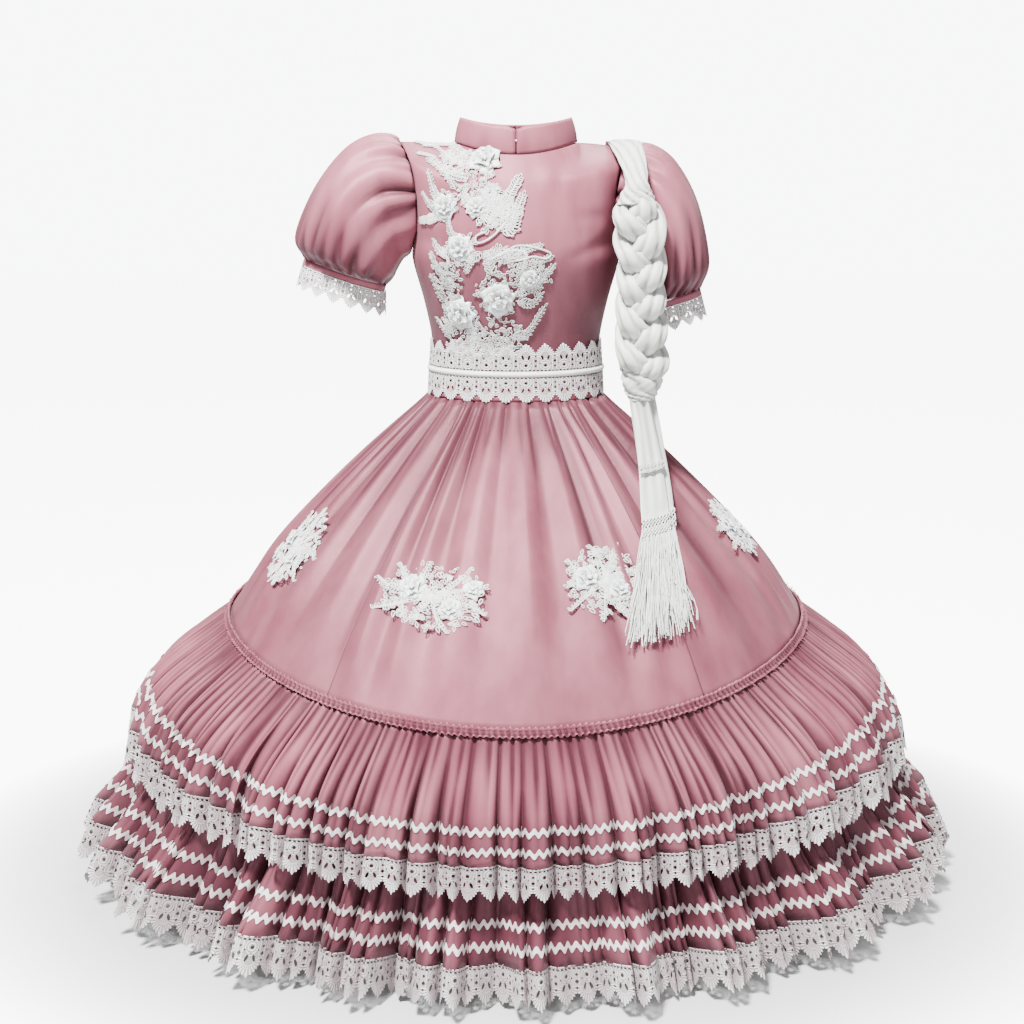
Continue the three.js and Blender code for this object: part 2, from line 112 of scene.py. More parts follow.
def level(row, angle):
    """A point round the wearer of a row: half width, side z, front depth, front z, back depth, back z."""
    a, zs, bf, zf, bb, zb = np.moveaxis(row, -1, 0)
    s, c = np.sin(angle), np.cos(angle)
    return vec(a * s, -np.where(c > 0, bf, bb) * c, zs * s * s + np.where(c > 0, zf, zb) * c * c)


def axis_hub(p):
    return p * [0, 0, 1] - [0, 0, 60]


def normals(surface, u, v, hub):
    """Outward normals of surface(u, v), and 1 or -1 for whether u, v turn that way."""
    e = 1e-4
    du = surface(u + e, v) - surface(u - e, v)
    dv = surface(u, np.minimum(v + e, 1)) - surface(u, np.maximum(v - e, 0))
    n = unit(np.cross(du, dv))
    p = surface(u, v)
    side = 1 if np.median(np.sum(n * (p - hub(p)), -1)) > 0 else -1
    return n * side, side


def raised(surface, lift, hub=axis_hub):
    """The surface moved out by lift."""
    return lambda u, v: surface(u, v) + normals(surface, u, v, hub)[0] * lift


# ---- meshes ----


def new_piece(name, mesh, look):
    mesh.materials.append(look)
    mesh.polygons.foreach_set("use_smooth", np.ones(len(mesh.polygons), bool))
    piece = bpy.data.objects.new(name, mesh)
    bpy.context.scene.collection.objects.link(piece)
    return piece


def points_of(mesh):
    co = np.empty(len(mesh.vertices) * 3)
    mesh.vertices.foreach_get("co", co)
    return co.reshape(-1, 3)


def set_points(mesh, p):
    """Waist-line millimetres to the row frame."""
    mesh.vertices.foreach_set("co", ((p - [0, 0, SHOULDER_Z]) * MM).ravel())
    mesh.update()


def set_uv(mesh, uv):
    corner = np.empty(len(mesh.loops), int)
    mesh.loops.foreach_get("vertex_index", corner)
    mesh.uv_layers.new(name="cloth").data.foreach_set("uv", uv[corner].ravel())


def set_painted_shade(mesh, surface, u, v):
    """Painted shade for each point, from 0 to 1, mostly from how deep it lies in a fold, for the finishes to
    darken.
    """
    if hasattr(surface, "hollow"):
        shade = mesh.attributes.new("hollow", "FLOAT", "POINT")
        shade.data.foreach_set("value", np.clip(surface.hollow(u, v), 0, 1))


def finish_mesh(mesh, turn_over, ring):
    bm = bmesh.new()
    bm.from_mesh(mesh)
    if turn_over:
        bmesh.ops.reverse_faces(bm, faces=bm.faces)
    if ring:
        bmesh.ops.remove_doubles(bm, verts=bm.verts, dist=1e-6)
    bm.to_mesh(mesh)
    bm.free()


def give_wall(piece, wall):
    shell = piece.modifiers.new("wall", "SOLIDIFY")
    shell.thickness = wall * MM
    shell.offset = -1


def cloth(name, look, surface, columns, rows, us=(0, 1), vs=(0, 1), **given):
    """A shell of cloth on surface(u, v). size is its flat width and length in metres, for its UV map."""
    ring, wall, hub = given.get("ring", False), given.get("wall", CLOTH), given.get("hub", axis_hub)
    size = given.get("size", (1, 1))
    bm = bmesh.new()
    bmesh.ops.create_grid(bm, x_segments=columns, y_segments=rows, size=0.5)
    mesh = bpy.data.meshes.new(name)
    bm.to_mesh(mesh)
    bm.free()
    at = points_of(mesh)[:, :2] + 0.5
    set_uv(mesh, at * size)
    u, v = mix(us[0], us[1], at[:, 0]), mix(vs[0], vs[1], at[:, 1])
    if given.get("creased"):  # more columns near the creases, which lie at whole numbers
        u = u - 0.1 * np.sin(TURN * u)
    side = normals(surface, u, v, hub)[1]
    set_points(mesh, surface(u, v))
    set_painted_shade(mesh, surface, u, v)
    finish_mesh(mesh, side < 0, ring)
    piece = new_piece(name, mesh, look)
    if wall:
        give_wall(piece, wall)
    return piece


# ---- colours and finishes ----


def node_group(name, inputs, outputs):
    group = bpy.data.node_groups.new(name, "ShaderNodeTree")
    for label, kind, value in inputs:
        socket = group.interface.new_socket(label, in_out="INPUT", socket_type=kind)
        socket.default_value = value
    for label, kind in outputs:
        group.interface.new_socket(label, in_out="OUTPUT", socket_type=kind)
    return group, group.nodes.new("NodeGroupInput"), group.nodes.new("NodeGroupOutput")


def add_node(tree, kind, values=(), links=(), **settings):
    node = tree.nodes.new(kind)
    for key, value in settings.items():
        setattr(node, key, value)
    for key, value in dict(values).items():
        node.inputs[key].default_value = value
    for key, source in dict(links).items():
        tree.links.new(source, node.inputs[key])
    return node


def paint_shade(group, colour, shade_colour):
    """Painted shade: the colour, turned towards the given shade colour where the piece's painted shade
    attribute is high.
    """
    hollow = add_node(group, "ShaderNodeAttribute", attribute_name="hollow")
    depth = add_node(
        group, "ShaderNodeMapRange", {"From Min": 0.15, "To Max": 0.85}, {"Value": hollow.outputs["Fac"]}
    )
    return add_node(
        group, "ShaderNodeMix", {}, {0: depth.outputs[0], 6: colour, 7: shade_colour}, data_type="RGBA"
    )


def cloth_group():
    """Colour that varies softly over the cloth, in blotches of tone and streaks of painted satin sheen, with
    painted shade from the piece's attribute, and the height of its weave and small wrinkles.
    """
    group, given, out = node_group(
        "woven cloth",
        [
            ("Colour", "NodeSocketColor", (0.5, 0.2, 0.25, 1)),
            ("Shade", "NodeSocketColor", (0.3, 0.1, 0.15, 1)),
            ("Hollow", "NodeSocketColor", (0.1, 0.03, 0.04, 1)),
            ("Threads", "NodeSocketFloat", 1500.0),
            ("Wrinkle", "NodeSocketFloat", 0.5),
        ],
        [("Colour", "NodeSocketColor"), ("Height", "NodeSocketFloat"), ("Rough", "NodeSocketFloat")],
    )
    place = add_node(group, "ShaderNodeTexCoord").outputs["Object"]
    wide = add_node(group, "ShaderNodeMapping", {"Scale": (7, 7, 2.2)}, {"Vector": place})
    soft = add_node(group, "ShaderNodeTexNoise", {"Scale": 1.0, "Detail": 3.0}, {"Vector": wide.outputs[0]})
    streak = add_node(group, "ShaderNodeMapping", {"Scale": (900, 900, 60)}, {"Vector": place})
    slub = add_node(group, "ShaderNodeTexNoise", {"Scale": 1.0, "Detail": 2.0}, {"Vector": streak.outputs[0]})
    # Painted sheen: narrow upright streaks of satin sheen, mixed below with soft blotches of tone.
    narrow = add_node(group, "ShaderNodeMapping", {"Scale": (26, 26, 3.2)}, {"Vector": place})
    sheen_streaks = add_node(
        group, "ShaderNodeTexNoise", {"Scale": 1.0, "Detail": 2.0}, {"Vector": narrow.outputs[0]}
    )
    tone_and_sheen = add_node(
        group,
        "ShaderNodeMix",
        {0: 0.45},
        {2: soft.outputs["Fac"], 3: sheen_streaks.outputs["Fac"]},
        data_type="FLOAT",
    )
    part = add_node(
        group, "ShaderNodeMapRange", {"From Min": 0.4, "From Max": 0.62}, {"Value": tone_and_sheen.outputs[0]}
    )
    mixed = add_node(
        group,
        "ShaderNodeMix",
        {},
        {0: part.outputs[0], 6: given.outputs["Colour"], 7: given.outputs["Shade"]},
        data_type="RGBA",
    )
    fine = add_node(
        group, "ShaderNodeMapRange", {"To Min": 0.93, "To Max": 1.05}, {"Value": slub.outputs["Fac"]}
    )
    tinted = add_node(
        group,
        "ShaderNodeMix",
        {0: 1.0},
        {6: mixed.outputs[2], 7: fine.outputs[0]},
        data_type="RGBA",
        blend_type="MULTIPLY",
    )
    with_painted_shade = paint_shade(group, tinted.outputs[2], given.outputs["Hollow"])
    crush = add_node(group, "ShaderNodeMapping", {"Scale": (38, 38, 11)}, {"Vector": place})
    crumple = add_node(
        group, "ShaderNodeTexNoise", {"Scale": 1.0, "Detail": 4.0}, {"Vector": crush.outputs[0]}
    )
    bumps = add_node(
        group,
        "ShaderNodeMath",
        {},
        {0: crumple.outputs["Fac"], 1: given.outputs["Wrinkle"]},
        operation="MULTIPLY",
    )
    weave = add_node(
        group, "ShaderNodeTexWave", {"Distortion": 0.4}, {"Vector": place, "Scale": given.outputs["Threads"]}
    )
    both = add_node(
        group,
        "ShaderNodeMath",
        {1: 0.02},
        {0: weave.outputs["Fac"], 2: bumps.outputs[0]},
        operation="MULTIPLY_ADD",
    )
    rough = add_node(
        group, "ShaderNodeMapRange", {"To Min": -0.06, "To Max": 0.08}, {"Value": soft.outputs["Fac"]}
    )
    group.links.new(with_painted_shade.outputs[2], out.inputs["Colour"])
    group.links.new(both.outputs[0], out.inputs["Height"])
    group.links.new(rough.outputs[0], out.inputs["Rough"])
    return group


def thread_group():
    """Twisted thread relief for laces, cords and braids, with a little painted grey shade in its hollows."""
    group, given, out = node_group(
        "white thread",
        [
            ("Colour", "NodeSocketColor", (0.9, 0.9, 0.9, 1)),
            ("Hollow", "NodeSocketColor", (0.6, 0.6, 0.6, 1)),
            ("Size", "NodeSocketFloat", 600.0),
        ],
        [("Colour", "NodeSocketColor"), ("Height", "NodeSocketFloat")],
    )
    place = add_node(group, "ShaderNodeTexCoord").outputs["Object"]
    cells = add_node(group, "ShaderNodeTexVoronoi", {}, {"Vector": place, "Scale": given.outputs["Size"]})
    noise = add_node(group, "ShaderNodeTexNoise", {"Scale": 90.0, "Detail": 3.0}, {"Vector": place})
    summed = add_node(
        group,
        "ShaderNodeMath",
        {1: 0.6},
        {0: cells.outputs["Distance"], 2: noise.outputs["Fac"]},
        operation="MULTIPLY_ADD",
    )
    part = add_node(
        group, "ShaderNodeMapRange", {"From Min": 0.55, "From Max": 2.4}, {"Value": summed.outputs[0]}
    )
    # Painted shade: grey where the thread relief is low.
    mixed = add_node(
        group,
        "ShaderNodeMix",
        {},
        {0: part.outputs[0], 6: given.outputs["Colour"], 7: given.outputs["Hollow"]},
        data_type="RGBA",
    )
    flip = add_node(group, "ShaderNodeMath", {0: 1.0}, {1: summed.outputs[0]}, operation="SUBTRACT")
    with_painted_shade = paint_shade(group, mixed.outputs[2], given.outputs["Hollow"])
    group.links.new(with_painted_shade.outputs[2], out.inputs["Colour"])
    group.links.new(flip.outputs[0], out.inputs["Height"])
    return group


def lace_group():
    """Lace worked in cords, by its UV map: rings round the eyelet, a shell arc and the ribs of its fan."""
    group, given, out = node_group(
        "lace cords",
        [
            ("Colour", "NodeSocketColor", (0.9, 0.9, 0.9, 1)),
            ("Hollow", "NodeSocketColor", (0.5, 0.5, 0.5, 1)),
            ("Valley", "NodeSocketColor", (0.3, 0.25, 0.25, 1)),
        ],
        [("Colour", "NodeSocketColor"), ("Height", "NodeSocketFloat")],
    )

    def sum_of(kind, *values):
        node = add_node(group, "ShaderNodeMath", operation=kind)
        for i, value in enumerate(values):
            if isinstance(value, (int, float)):
                node.inputs[i].default_value = value
            else:
                group.links.new(value, node.inputs[i])
        return node.outputs[0]

    place = add_node(group, "ShaderNodeUVMap", uv_map="cloth").outputs[0]
    split = add_node(group, "ShaderNodeSeparateXYZ", {}, {0: place})
    in_repeat = sum_of("FRACT", sum_of("DIVIDE", split.outputs[0], SCALLOP * MM))
    x = sum_of("MULTIPLY_ADD", in_repeat, SCALLOP, -SCALLOP / 2)
    y = sum_of("DIVIDE", split.outputs[1], MM)

    def radius(centre_y):
        dy = sum_of("SUBTRACT", y, centre_y)
        return dy, sum_of("SQRT", sum_of("ADD", sum_of("MULTIPLY", x, x), sum_of("MULTIPLY", dy, dy)))

    def ridge(value, at, half):
        """1 on the line value = at, falling to 0 at half to each side."""
        away = sum_of("ABSOLUTE", sum_of("SUBTRACT", value, at))
        return sum_of("MAXIMUM", sum_of("SUBTRACT", 1, sum_of("DIVIDE", away, half)), 0)

    _, ring = radius(13)
    down, shell = radius(30)
    turn = sum_of("ARCTAN2", x, down)
    ribs = sum_of("MULTIPLY_ADD", sum_of("COSINE", sum_of("MULTIPLY", turn, 21.3)), 0.5, 0.5)
    fan = sum_of("MULTIPLY", ribs, sum_of("GREATER_THAN", shell, 7.5))
    fan = sum_of("MULTIPLY", fan, sum_of("GREATER_THAN", down, -4))
    sides = ridge(sum_of("ABSOLUTE", x), 11.4, 1.3)
    cords = sum_of("MAXIMUM", ridge(ring, 4.6, 1.3), ridge(ring, 8.2, 1.2))
    cords = sum_of("MAXIMUM", cords, sum_of("MAXIMUM", ridge(shell, 6.6, 1.0), sides))
    above = sum_of("MULTIPLY", cords, sum_of("LESS_THAN", shell, 8))
    above = sum_of("MAXIMUM", above, sum_of("MULTIPLY", cords, sum_of("LESS_THAN", down, -4)))
    pattern = sum_of("MAXIMUM", fan, sum_of("MAXIMUM", above, ridge(y, 1.2, 1.2)))
    threads = add_node(group, "ShaderNodeTexVoronoi", {"Scale": 620.0}, {"Vector": place})
    height = sum_of("MULTIPLY_ADD", threads.outputs["Distance"], -0.5, pattern)
    # Painted shade: darker where the relief is low between the cords, and in the folds of the piece beneath.
    mixed = add_node(
        group,
        "ShaderNodeMix",
        {},
        {
            0: add_node(
                group, "ShaderNodeMapRange", {"From Min": -0.3, "From Max": 0.55}, {"Value": height}
            ).outputs[0],
            6: given.outputs["Hollow"],
            7: given.outputs["Colour"],
        },
        data_type="RGBA",
    )
    with_painted_shade = paint_shade(group, mixed.outputs[2], given.outputs["Valley"])
    group.links.new(with_painted_shade.outputs[2], out.inputs["Colour"])
    group.links.new(height, out.inputs["Height"])
    return group


SCALLOP = 30.0
WOVEN, THREAD, LACE = cloth_group(), thread_group(), lace_group()


def finish(name, group, values, bump, **sockets):
    """A material whose colour and relief come from group; other sockets are set on the shader itself."""
    material = bpy.data.materials.new(name)
    material.use_nodes = True
    tree = material.node_tree
    shader = tree.nodes["Principled BSDF"]
    for key, value in sockets.items():
        shader.inputs[key.replace("_", " ")].default_value = value
    source = add_node(tree, "ShaderNodeGroup", node_tree=group)
    for key, value in values.items():
        source.inputs[key].default_value = value
    tree.links.new(source.outputs["Colour"], shader.inputs["Base Color"])
    relief = add_node(
        tree, "ShaderNodeBump", {"Strength": 1.0, "Distance": bump * MM}, {"Height": source.outputs["Height"]}
    )
    tree.links.new(relief.outputs[0], shader.inputs["Normal"])
    if "Rough" in source.outputs:
        rough = add_node(
            tree,
            "ShaderNodeMath",
            {1: sockets["Roughness"]},
            {0: source.outputs["Rough"]},
            operation="ADD",
        )
        tree.links.new(rough.outputs[0], shader.inputs["Roughness"])
    return material


# Each finish's hollow colour, and the lace's valley colour, is the colour of its painted shade.
rose_satin = finish(
    "dusty rose satin",
    WOVEN,
    {
        "Colour": (0.34, 0.118, 0.15, 1),
        "Shade": (0.236, 0.068, 0.094, 1),
        "Hollow": (0.026, 0.005, 0.009, 1),
        "Threads": 1500.0,
        "Wrinkle": 0.5,
    },
    1.2,
    Roughness=0.4,
    Specular_IOR_Level=0.4,
    Specular_Tint=(1.0, 0.5, 0.58, 1),
    Sheen_Weight=0.05,
    Sheen_Roughness=0.4,
    Sheen_Tint=(1.0, 0.8, 0.84, 1),
    Anisotropic=0.3,
)
white_lace = finish(
    "white guipure lace",
    LACE,
    {"Colour": (0.96, 0.96, 0.94, 1), "Hollow": (0.34, 0.3, 0.3, 1), "Valley": (0.3, 0.23, 0.24, 1)},
    0.9,
    Roughness=0.85,
    Sheen_Weight=0.15,
)
white_braid = finish(
    "white woven braid",
    THREAD,
    {"Colour": (0.93, 0.92, 0.9, 1), "Hollow": (0.3, 0.22, 0.23, 1), "Size": 800.0},
    0.4,
    Roughness=0.7,
    Sheen_Weight=0.2,
)
corded_lace = finish(
    "corded applique",
    THREAD,
    {"Colour": (0.8, 0.8, 0.78, 1), "Hollow": (0.07, 0.035, 0.04, 1), "Size": 700.0},
    0.5,
    Roughness=0.6,
    Sheen_Weight=0.2,
)
petal_satin = finish(
    "petal organza",
    WOVEN,
    {
        "Colour": (0.93, 0.95, 0.93, 1),
        "Shade": (0.72, 0.75, 0.73, 1),
        "Hollow": (0.12, 0.11, 0.11, 1),
        "Threads": 2500.0,
        "Wrinkle": 0.3,
    },
    0.6,
    Roughness=0.45,
    Sheen_Weight=0.3,
    Subsurface_Weight=0.15,
    Subsurface_Scale=0.004,
)
pearl = finish(
    "pearl bead",
    THREAD,
    {"Colour": (0.88, 0.87, 0.84, 1), "Hollow": (0.8, 0.79, 0.78, 1), "Size": 60.0},
    0.05,
    Roughness=0.2,
    Coat_Weight=0.6,
    Coat_Roughness=0.1,
)
sash_satin = finish(
    "ivory sash satin",
    WOVEN,
    {
        "Colour": (0.66, 0.68, 0.635, 1),
        "Shade": (0.58, 0.6, 0.56, 1),
        "Hollow": (0.22, 0.23, 0.21, 1),
        "Threads": 1700.0,
        "Wrinkle": 0.7,
    },
    1.2,
    Roughness=0.45,
    Sheen_Weight=0.3,
    Sheen_Roughness=0.4,
)

# ---- gathered cloth: creases lie at whole numbers of t, counted round the wearer ----

FOLD_DEPTHS = np.array([1, 0.78, 1.14, 0.9, 1.22, 0.84, 1.05])
VALLEY = 2 / 3  # place of a fold's hollow, in folds


def fold(s, count):
    p = s * count
    k = np.floor(p + 1e-6).astype(int)
    f = p - k
    depth = mix(FOLD_DEPTHS[k % count % 7], FOLD_DEPTHS[(k + 1) % count % 7], f)
    return depth * np.sin(TURN * f + math.pi / 6)


def angle_of(s, count):
    return TURN * (s + (0.22 * np.sin(7 * TURN * s) + 0.14 * np.sin(3 * TURN * s)) / count)


def gathered(levels, folds, per_fold, height, shape, lean, swell=(0, 0.5, 0)):
    """Surface(t, v) of a gathered panel. shape(v, k) gives crease k's depth, half width and the lobes'
    roundness; swell gives the hem's uneven steps: height, where they begin, and how far they lean in."""
    count = folds * per_fold
    jitter = draw.uniform(-0.33, 0.33, count) / per_fold
    drift = draw.uniform(-lean, lean, count) / per_fold

    # Height of the creases, and the painted shade in their troughs.
    def relief(t, v):
        k = np.floor(t).astype(int)
        f = t - k
        _, _, roundness = shape(v, k % count)
        lobe = (t / 2) % 1
        h = roundness * (4 * lobe * (1 - lobe)) ** 0.6
        hollow = 0
        for n in (-1, 0, 1, 2):
            depth, wide, _ = shape(v, (k + n) % count)
            trough = depth * np.exp(-((np.abs(f - n) / wide) ** 1.35))
            h, hollow = h - trough, hollow + trough
        return h, hollow

    def turn_at(t, v):
        k = np.floor(t).astype(int)
        f = t - k
        i, j = k % count, (k + 1) % count
        wander = mix(jitter[i], jitter[j], f) + mix(drift[i], drift[j], f) * v
        return (VALLEY + t / per_fold + wander) / folds

    def step(s, v):
        """The hem's uneven steps, between -1 and 1, growing from swell's start."""
        wave = np.sin(TURN * 27 * s + 1.7 * np.sin(TURN * 5 * s) + 1.1 * np.sin(TURN * 3 * s))
        return np.tanh(1.7 * wave) * rise(swell[1], 1, v)

    def surface(t, v):
        s = turn_at(t, v)
        h = height(v) * fold(s, folds) + relief(t, v)[0]
        h = h + swell[0] * (step(s, v) - swell[2] * rise(swell[1], 1, v))
        angle = angle_of(s, folds)
        out = unit(vec(np.sin(angle), -np.cos(angle), 0.4 * v))
        return level(along(levels, v), angle) + out * h[..., None]

    # Painted shade: darker in the crease troughs and where the hem steps back.
    def hollow(t, v):
        set_back = rise(swell[1], 1, v) - step(turn_at(t, v), v)
        return relief(t, v)[1] / (2.4 + 5.6 * v) + swell[0] / 80 * set_back

    surface.hollow = hollow
    return surface


# Rows from waist to seam: half width, side z, front depth, front z, back depth, back z.
SKIRT = [
    [140, -42.4, 103, -42.4, 103, -42.4],
    [226, -121, 195, -130, 190, -126],
    [318, -211, 290, -232, 280, -220],
    [402, -300, 375, -338, 362, -312],
    [468, -392, 450, -443, 435, -405],
]
UPPER = [
    [468.4, -392.5, 450.4, -443.9, 435.2, -406.1],
    [596, -497, 487, -560, 470, -520],
    [652, -632, 502, -668, 490, -622],
]
LOWER = [
    [466.2, -394.2, 448.2, -445.2, 433.2, -407.2],
    [560, -506, 458, -560, 440, -525],
    [624, -640, 470, -680, 456, -640],
    [742, -790, 536, -812, 522, -776],
]
UPPER_HEM, LOWER_HEM = 0.77, 0.88


def crease_table(count, *columns):
    """A row of drawn numbers for each crease; each column is (low, high)."""
    return [draw.uniform(lo, hi, count) for lo, hi in columns]


def yoke_shape(count):
    """Fine gathers at the waist; a few run far down the yoke as narrow troughs."""
    seam, reach, late = crease_table(count, (3, 8), (0.08, 0.34), (0, 1))
    reach = np.where(late > 0.8, reach + 0.35, reach)

    def shape(v, k):
        start = 0.45 + 0.55 * rise(0, 0.05, v)
        ridge = 1.6 * np.exp(-v / 0.2) + 2.2 * late[k] * v * (1 - v)
        return seam[k] * start * np.exp(-((v / reach[k]) ** 1.4)), 0.26 + 0.3 * v, ridge

    return shape


def flounce_shape(folds, hem, deep):
    """Small gathers under the seam; every other crease grows into a deep valley at the hem."""
    count = folds * 4
    seam, low, high, begins = crease_table(count, (2.2, 5.5), (0.0, 4.0), (0.7, 1.2), (0.0, 0.3))
    major = np.arange(count) % 2 == 0
    late, broad = crease_table(count, (0, 1), (0.2, 0.36))
    bottom = np.where(major & (late > 0.1), hem * high, np.where(late > 0.8, 0.55 * hem, low))

    def shape(v, k):
        grown = rise(begins[k], 0.85, v) ** deep
        return seam[k] * (1 - grown) + bottom[k] * grown, broad[k], 1.5 + 5.5 * v

    return shape


def shaded(surface, share):
    """Adds share(u, v) to a surface's painted shade."""
    before = getattr(surface, "hollow", lambda u, v: 0 * u)
    surface.hollow = lambda u, v: before(u, v) + share(u, v)


skirt = gathered(SKIRT, 32, 2, lambda v: (1.6 + 24 * v) * (1 - v), yoke_shape(64), 0.3)
upper = gathered(UPPER, 56, 4, lambda v: 10 * v, flounce_shape(56, 21, 0.7), 0.4, (7, 0.35, 0.2))
lower = gathered(LOWER, 64, 4, lambda v: 12 * v * v, flounce_shape(64, 23, 0.9), 0.4, (23, 0.5, 0.38))
# Painted shade: the upper flounce darker near its seam and from its first ric-rac down, the lower flounce
# darker under the upper one; the yoke darker all over.
shaded(skirt, lambda t, v: 0.53 + 0.06 * np.sin(0.9 * t + 2 * v))
shaded(upper, lambda t, v: 0.3 * (1 - rise(0, 0.3, v)) + 0.34 * rise(0.42, 0.58, v))
shaded(lower, lambda t, v: 0.34 + 0.4 * (1 - rise(0.62, 0.95, v)))
plain_skirt = lambda s, v: level(along(SKIRT, v), TURN * s)

GORE_COLUMNS, RUFFLE_COLUMNS = 8, 5  # for each crease
GORES = {"front": (-8, 5), "left": (5, 17), "back_left": (17, 31), "back_right": (31, 44), "right": (44, 56)}
SEAMS = np.array([edge for edge, _ in GORES.values()])
gather_shade = skirt.hollow


def yoke_shade_and_seams(t, v):
    """Painted shade in the gathers, and a thin dark line where two gores are joined."""
    apart = np.abs((t[:, None] - SEAMS + 32) % 64 - 32).min(axis=1)
    return np.maximum(gather_shade(t, v), 0.9 * np.exp(-((apart / (0.16 - 0.1 * v)) ** 2)))


skirt.hollow = yoke_shade_and_seams
for where, (first, last) in GORES.items():
    columns = (last - first) * GORE_COLUMNS
    piece = cloth(
        f"gore_{where}", rose_satin, skirt, columns, 34, (first, last), size=(0.5, 0.5), creased=True
    )
    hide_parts(f"skirt_{where}")

PANELS = ["front", "left", "back", "right"]


def panel_spans(start, each):
    return {where: (start + each * i, start + each * (i + 1)) for i, where in enumerate(PANELS)}


UPPER_SPANS, LOWER_SPANS = panel_spans(-31, 56), panel_spans(-35, 64)
for name, surface, spans, hem, rows in (
    ("upper", upper, UPPER_SPANS, UPPER_HEM, 16),
    ("lower", lower, LOWER_SPANS, LOWER_HEM, 18),
):
    for where, span in spans.items():
        piece = cloth(
            f"{name}_ruffle_{where}",
            rose_satin,
            surface,
            (span[1] - span[0]) * RUFFLE_COLUMNS,
            rows,
            span,
            (0, hem),
            size=(1.3, 0.3),
            creased=True,
        )
        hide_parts(f"{name}_flounce_{where}")

# ---- lace: one scallop with its eyelets, repeated ----

LACE_TALL = 52.0
HEM_REPEAT = 34.0
# Rows: centre x, centre y, half width, half height, lean in degrees, corners.
EYELETS = [
    (15, 13, 2.7, 2.7, 0, 6),
    (10.3, 26.5, 2.1, 4.8, 20, 6),
    (19.7, 26.5, 2.1, 4.8, -20, 6),
    (6.4, 16.5, 1.5, 1.5, 0, 4),
    (23.6, 16.5, 1.5, 1.5, 0, 4),
    (15, 20.8, 1.2, 1.2, 0, 4),
]
DASHES = 5
# Rows down the side between two scallops: x, y of half an eyelet's corners.
BETWEEN = [
    (0, 0),
    (0, 9.6),
    (2.4, 11.8),
    (0, 14),
    (0, 17.5),
    (2.8, 20.6),
    (0, 23.7),
    (0, 26.6),
    (2.3, 28.8),
    (0, 31),
    (0, 33.6),
]
FAN_Y, FAN_WIDE, FAN_TEETH = 30.0, 76, 9


def fan_edge():
    """The toothed edge of a scallop, from its left notch to its right one."""
    edge = []
    for i in range(FAN_TEETH):
        for share, cut in ((0.0, 2.3), (0.5, 0.0)):
            turn = math.radians(mix(-FAN_WIDE, FAN_WIDE, (i + share) / FAN_TEETH))
            reach = 14.6 + 7.5 * math.exp(-abs(turn) / 0.4) - cut
            edge.append((SCALLOP / 2 + reach * math.sin(turn), FAN_Y + reach * math.cos(turn)))
    return edge[1:]


def scallop_mesh():
    curve = bpy.data.curves.new("scallop", "CURVE")
    curve.dimensions = "2D"
    curve.fill_mode = "BOTH"

    def outline(corners):
        line = curve.splines.new("POLY")
        line.points.add(len(corners) - 1)
        for point, (x, y) in zip(line.points, corners):
            point.co = (x, y, 0, 1)
        line.use_cyclic_u = True

    right = [(SCALLOP - x, y) for x, y in reversed(BETWEEN)]
    outline(BETWEEN + fan_edge() + right)
    for i in range(DASHES):
        x = SCALLOP * (i + 0.5) / DASHES
        outline([(x - 1.9, 2.4), (x + 1.9, 2.9), (x + 1.9, 5.4), (x - 1.9, 4.9)])
    for cx, cy, wide, tall, lean, corners in EYELETS:
        c, s = math.cos(math.radians(lean)), math.sin(math.radians(lean))
        turns = [TURN * k / corners for k in range(corners)]
        ring = [(wide * math.cos(turn), tall * math.sin(turn)) for turn in turns]
        outline([(cx + x * c - y * s, cy + x * s + y * c) for x, y in ring])
    holder = bpy.data.objects.new("scallop", curve)
    bpy.context.scene.collection.objects.link(holder)
    mesh = bpy.data.meshes.new_from_object(holder.evaluated_get(bpy.context.evaluated_depsgraph_get()))
    bpy.data.objects.remove(holder)
    return mesh


def cut_scallop(columns, rows):
    """The scallop cut across, so that it bends with the folds."""
    bm = bmesh.new()
    bm.from_mesh(scallop_mesh())
    bmesh.ops.remove_doubles(bm, verts=bm.verts, dist=1e-4)
    cuts = [((SCALLOP * (i + 1) / columns, 0, 0), (1, 0, 0)) for i in range(columns - 1)]
    cuts += [((0, 42.0 * (i + 1) / rows, 0), (0, 1, 0)) for i in range(rows - 1)]
    for point, across in cuts:
        everything = bm.verts[:] + bm.edges[:] + bm.faces[:]
        bmesh.ops.bisect_plane(bm, geom=everything, plane_co=point, plane_no=across)
    bmesh.ops.triangulate(bm, faces=bm.faces)
    bm.normal_update()
    bmesh.ops.reverse_faces(bm, faces=[face for face in bm.faces if face.normal.z < 0])
    mesh = bpy.data.meshes.new("cut scallop")
    bm.to_mesh(mesh)
    bm.free()
    return mesh


FINE_SCALLOP, PLAIN_SCALLOP = cut_scallop(5, 2), cut_scallop(3, 2)


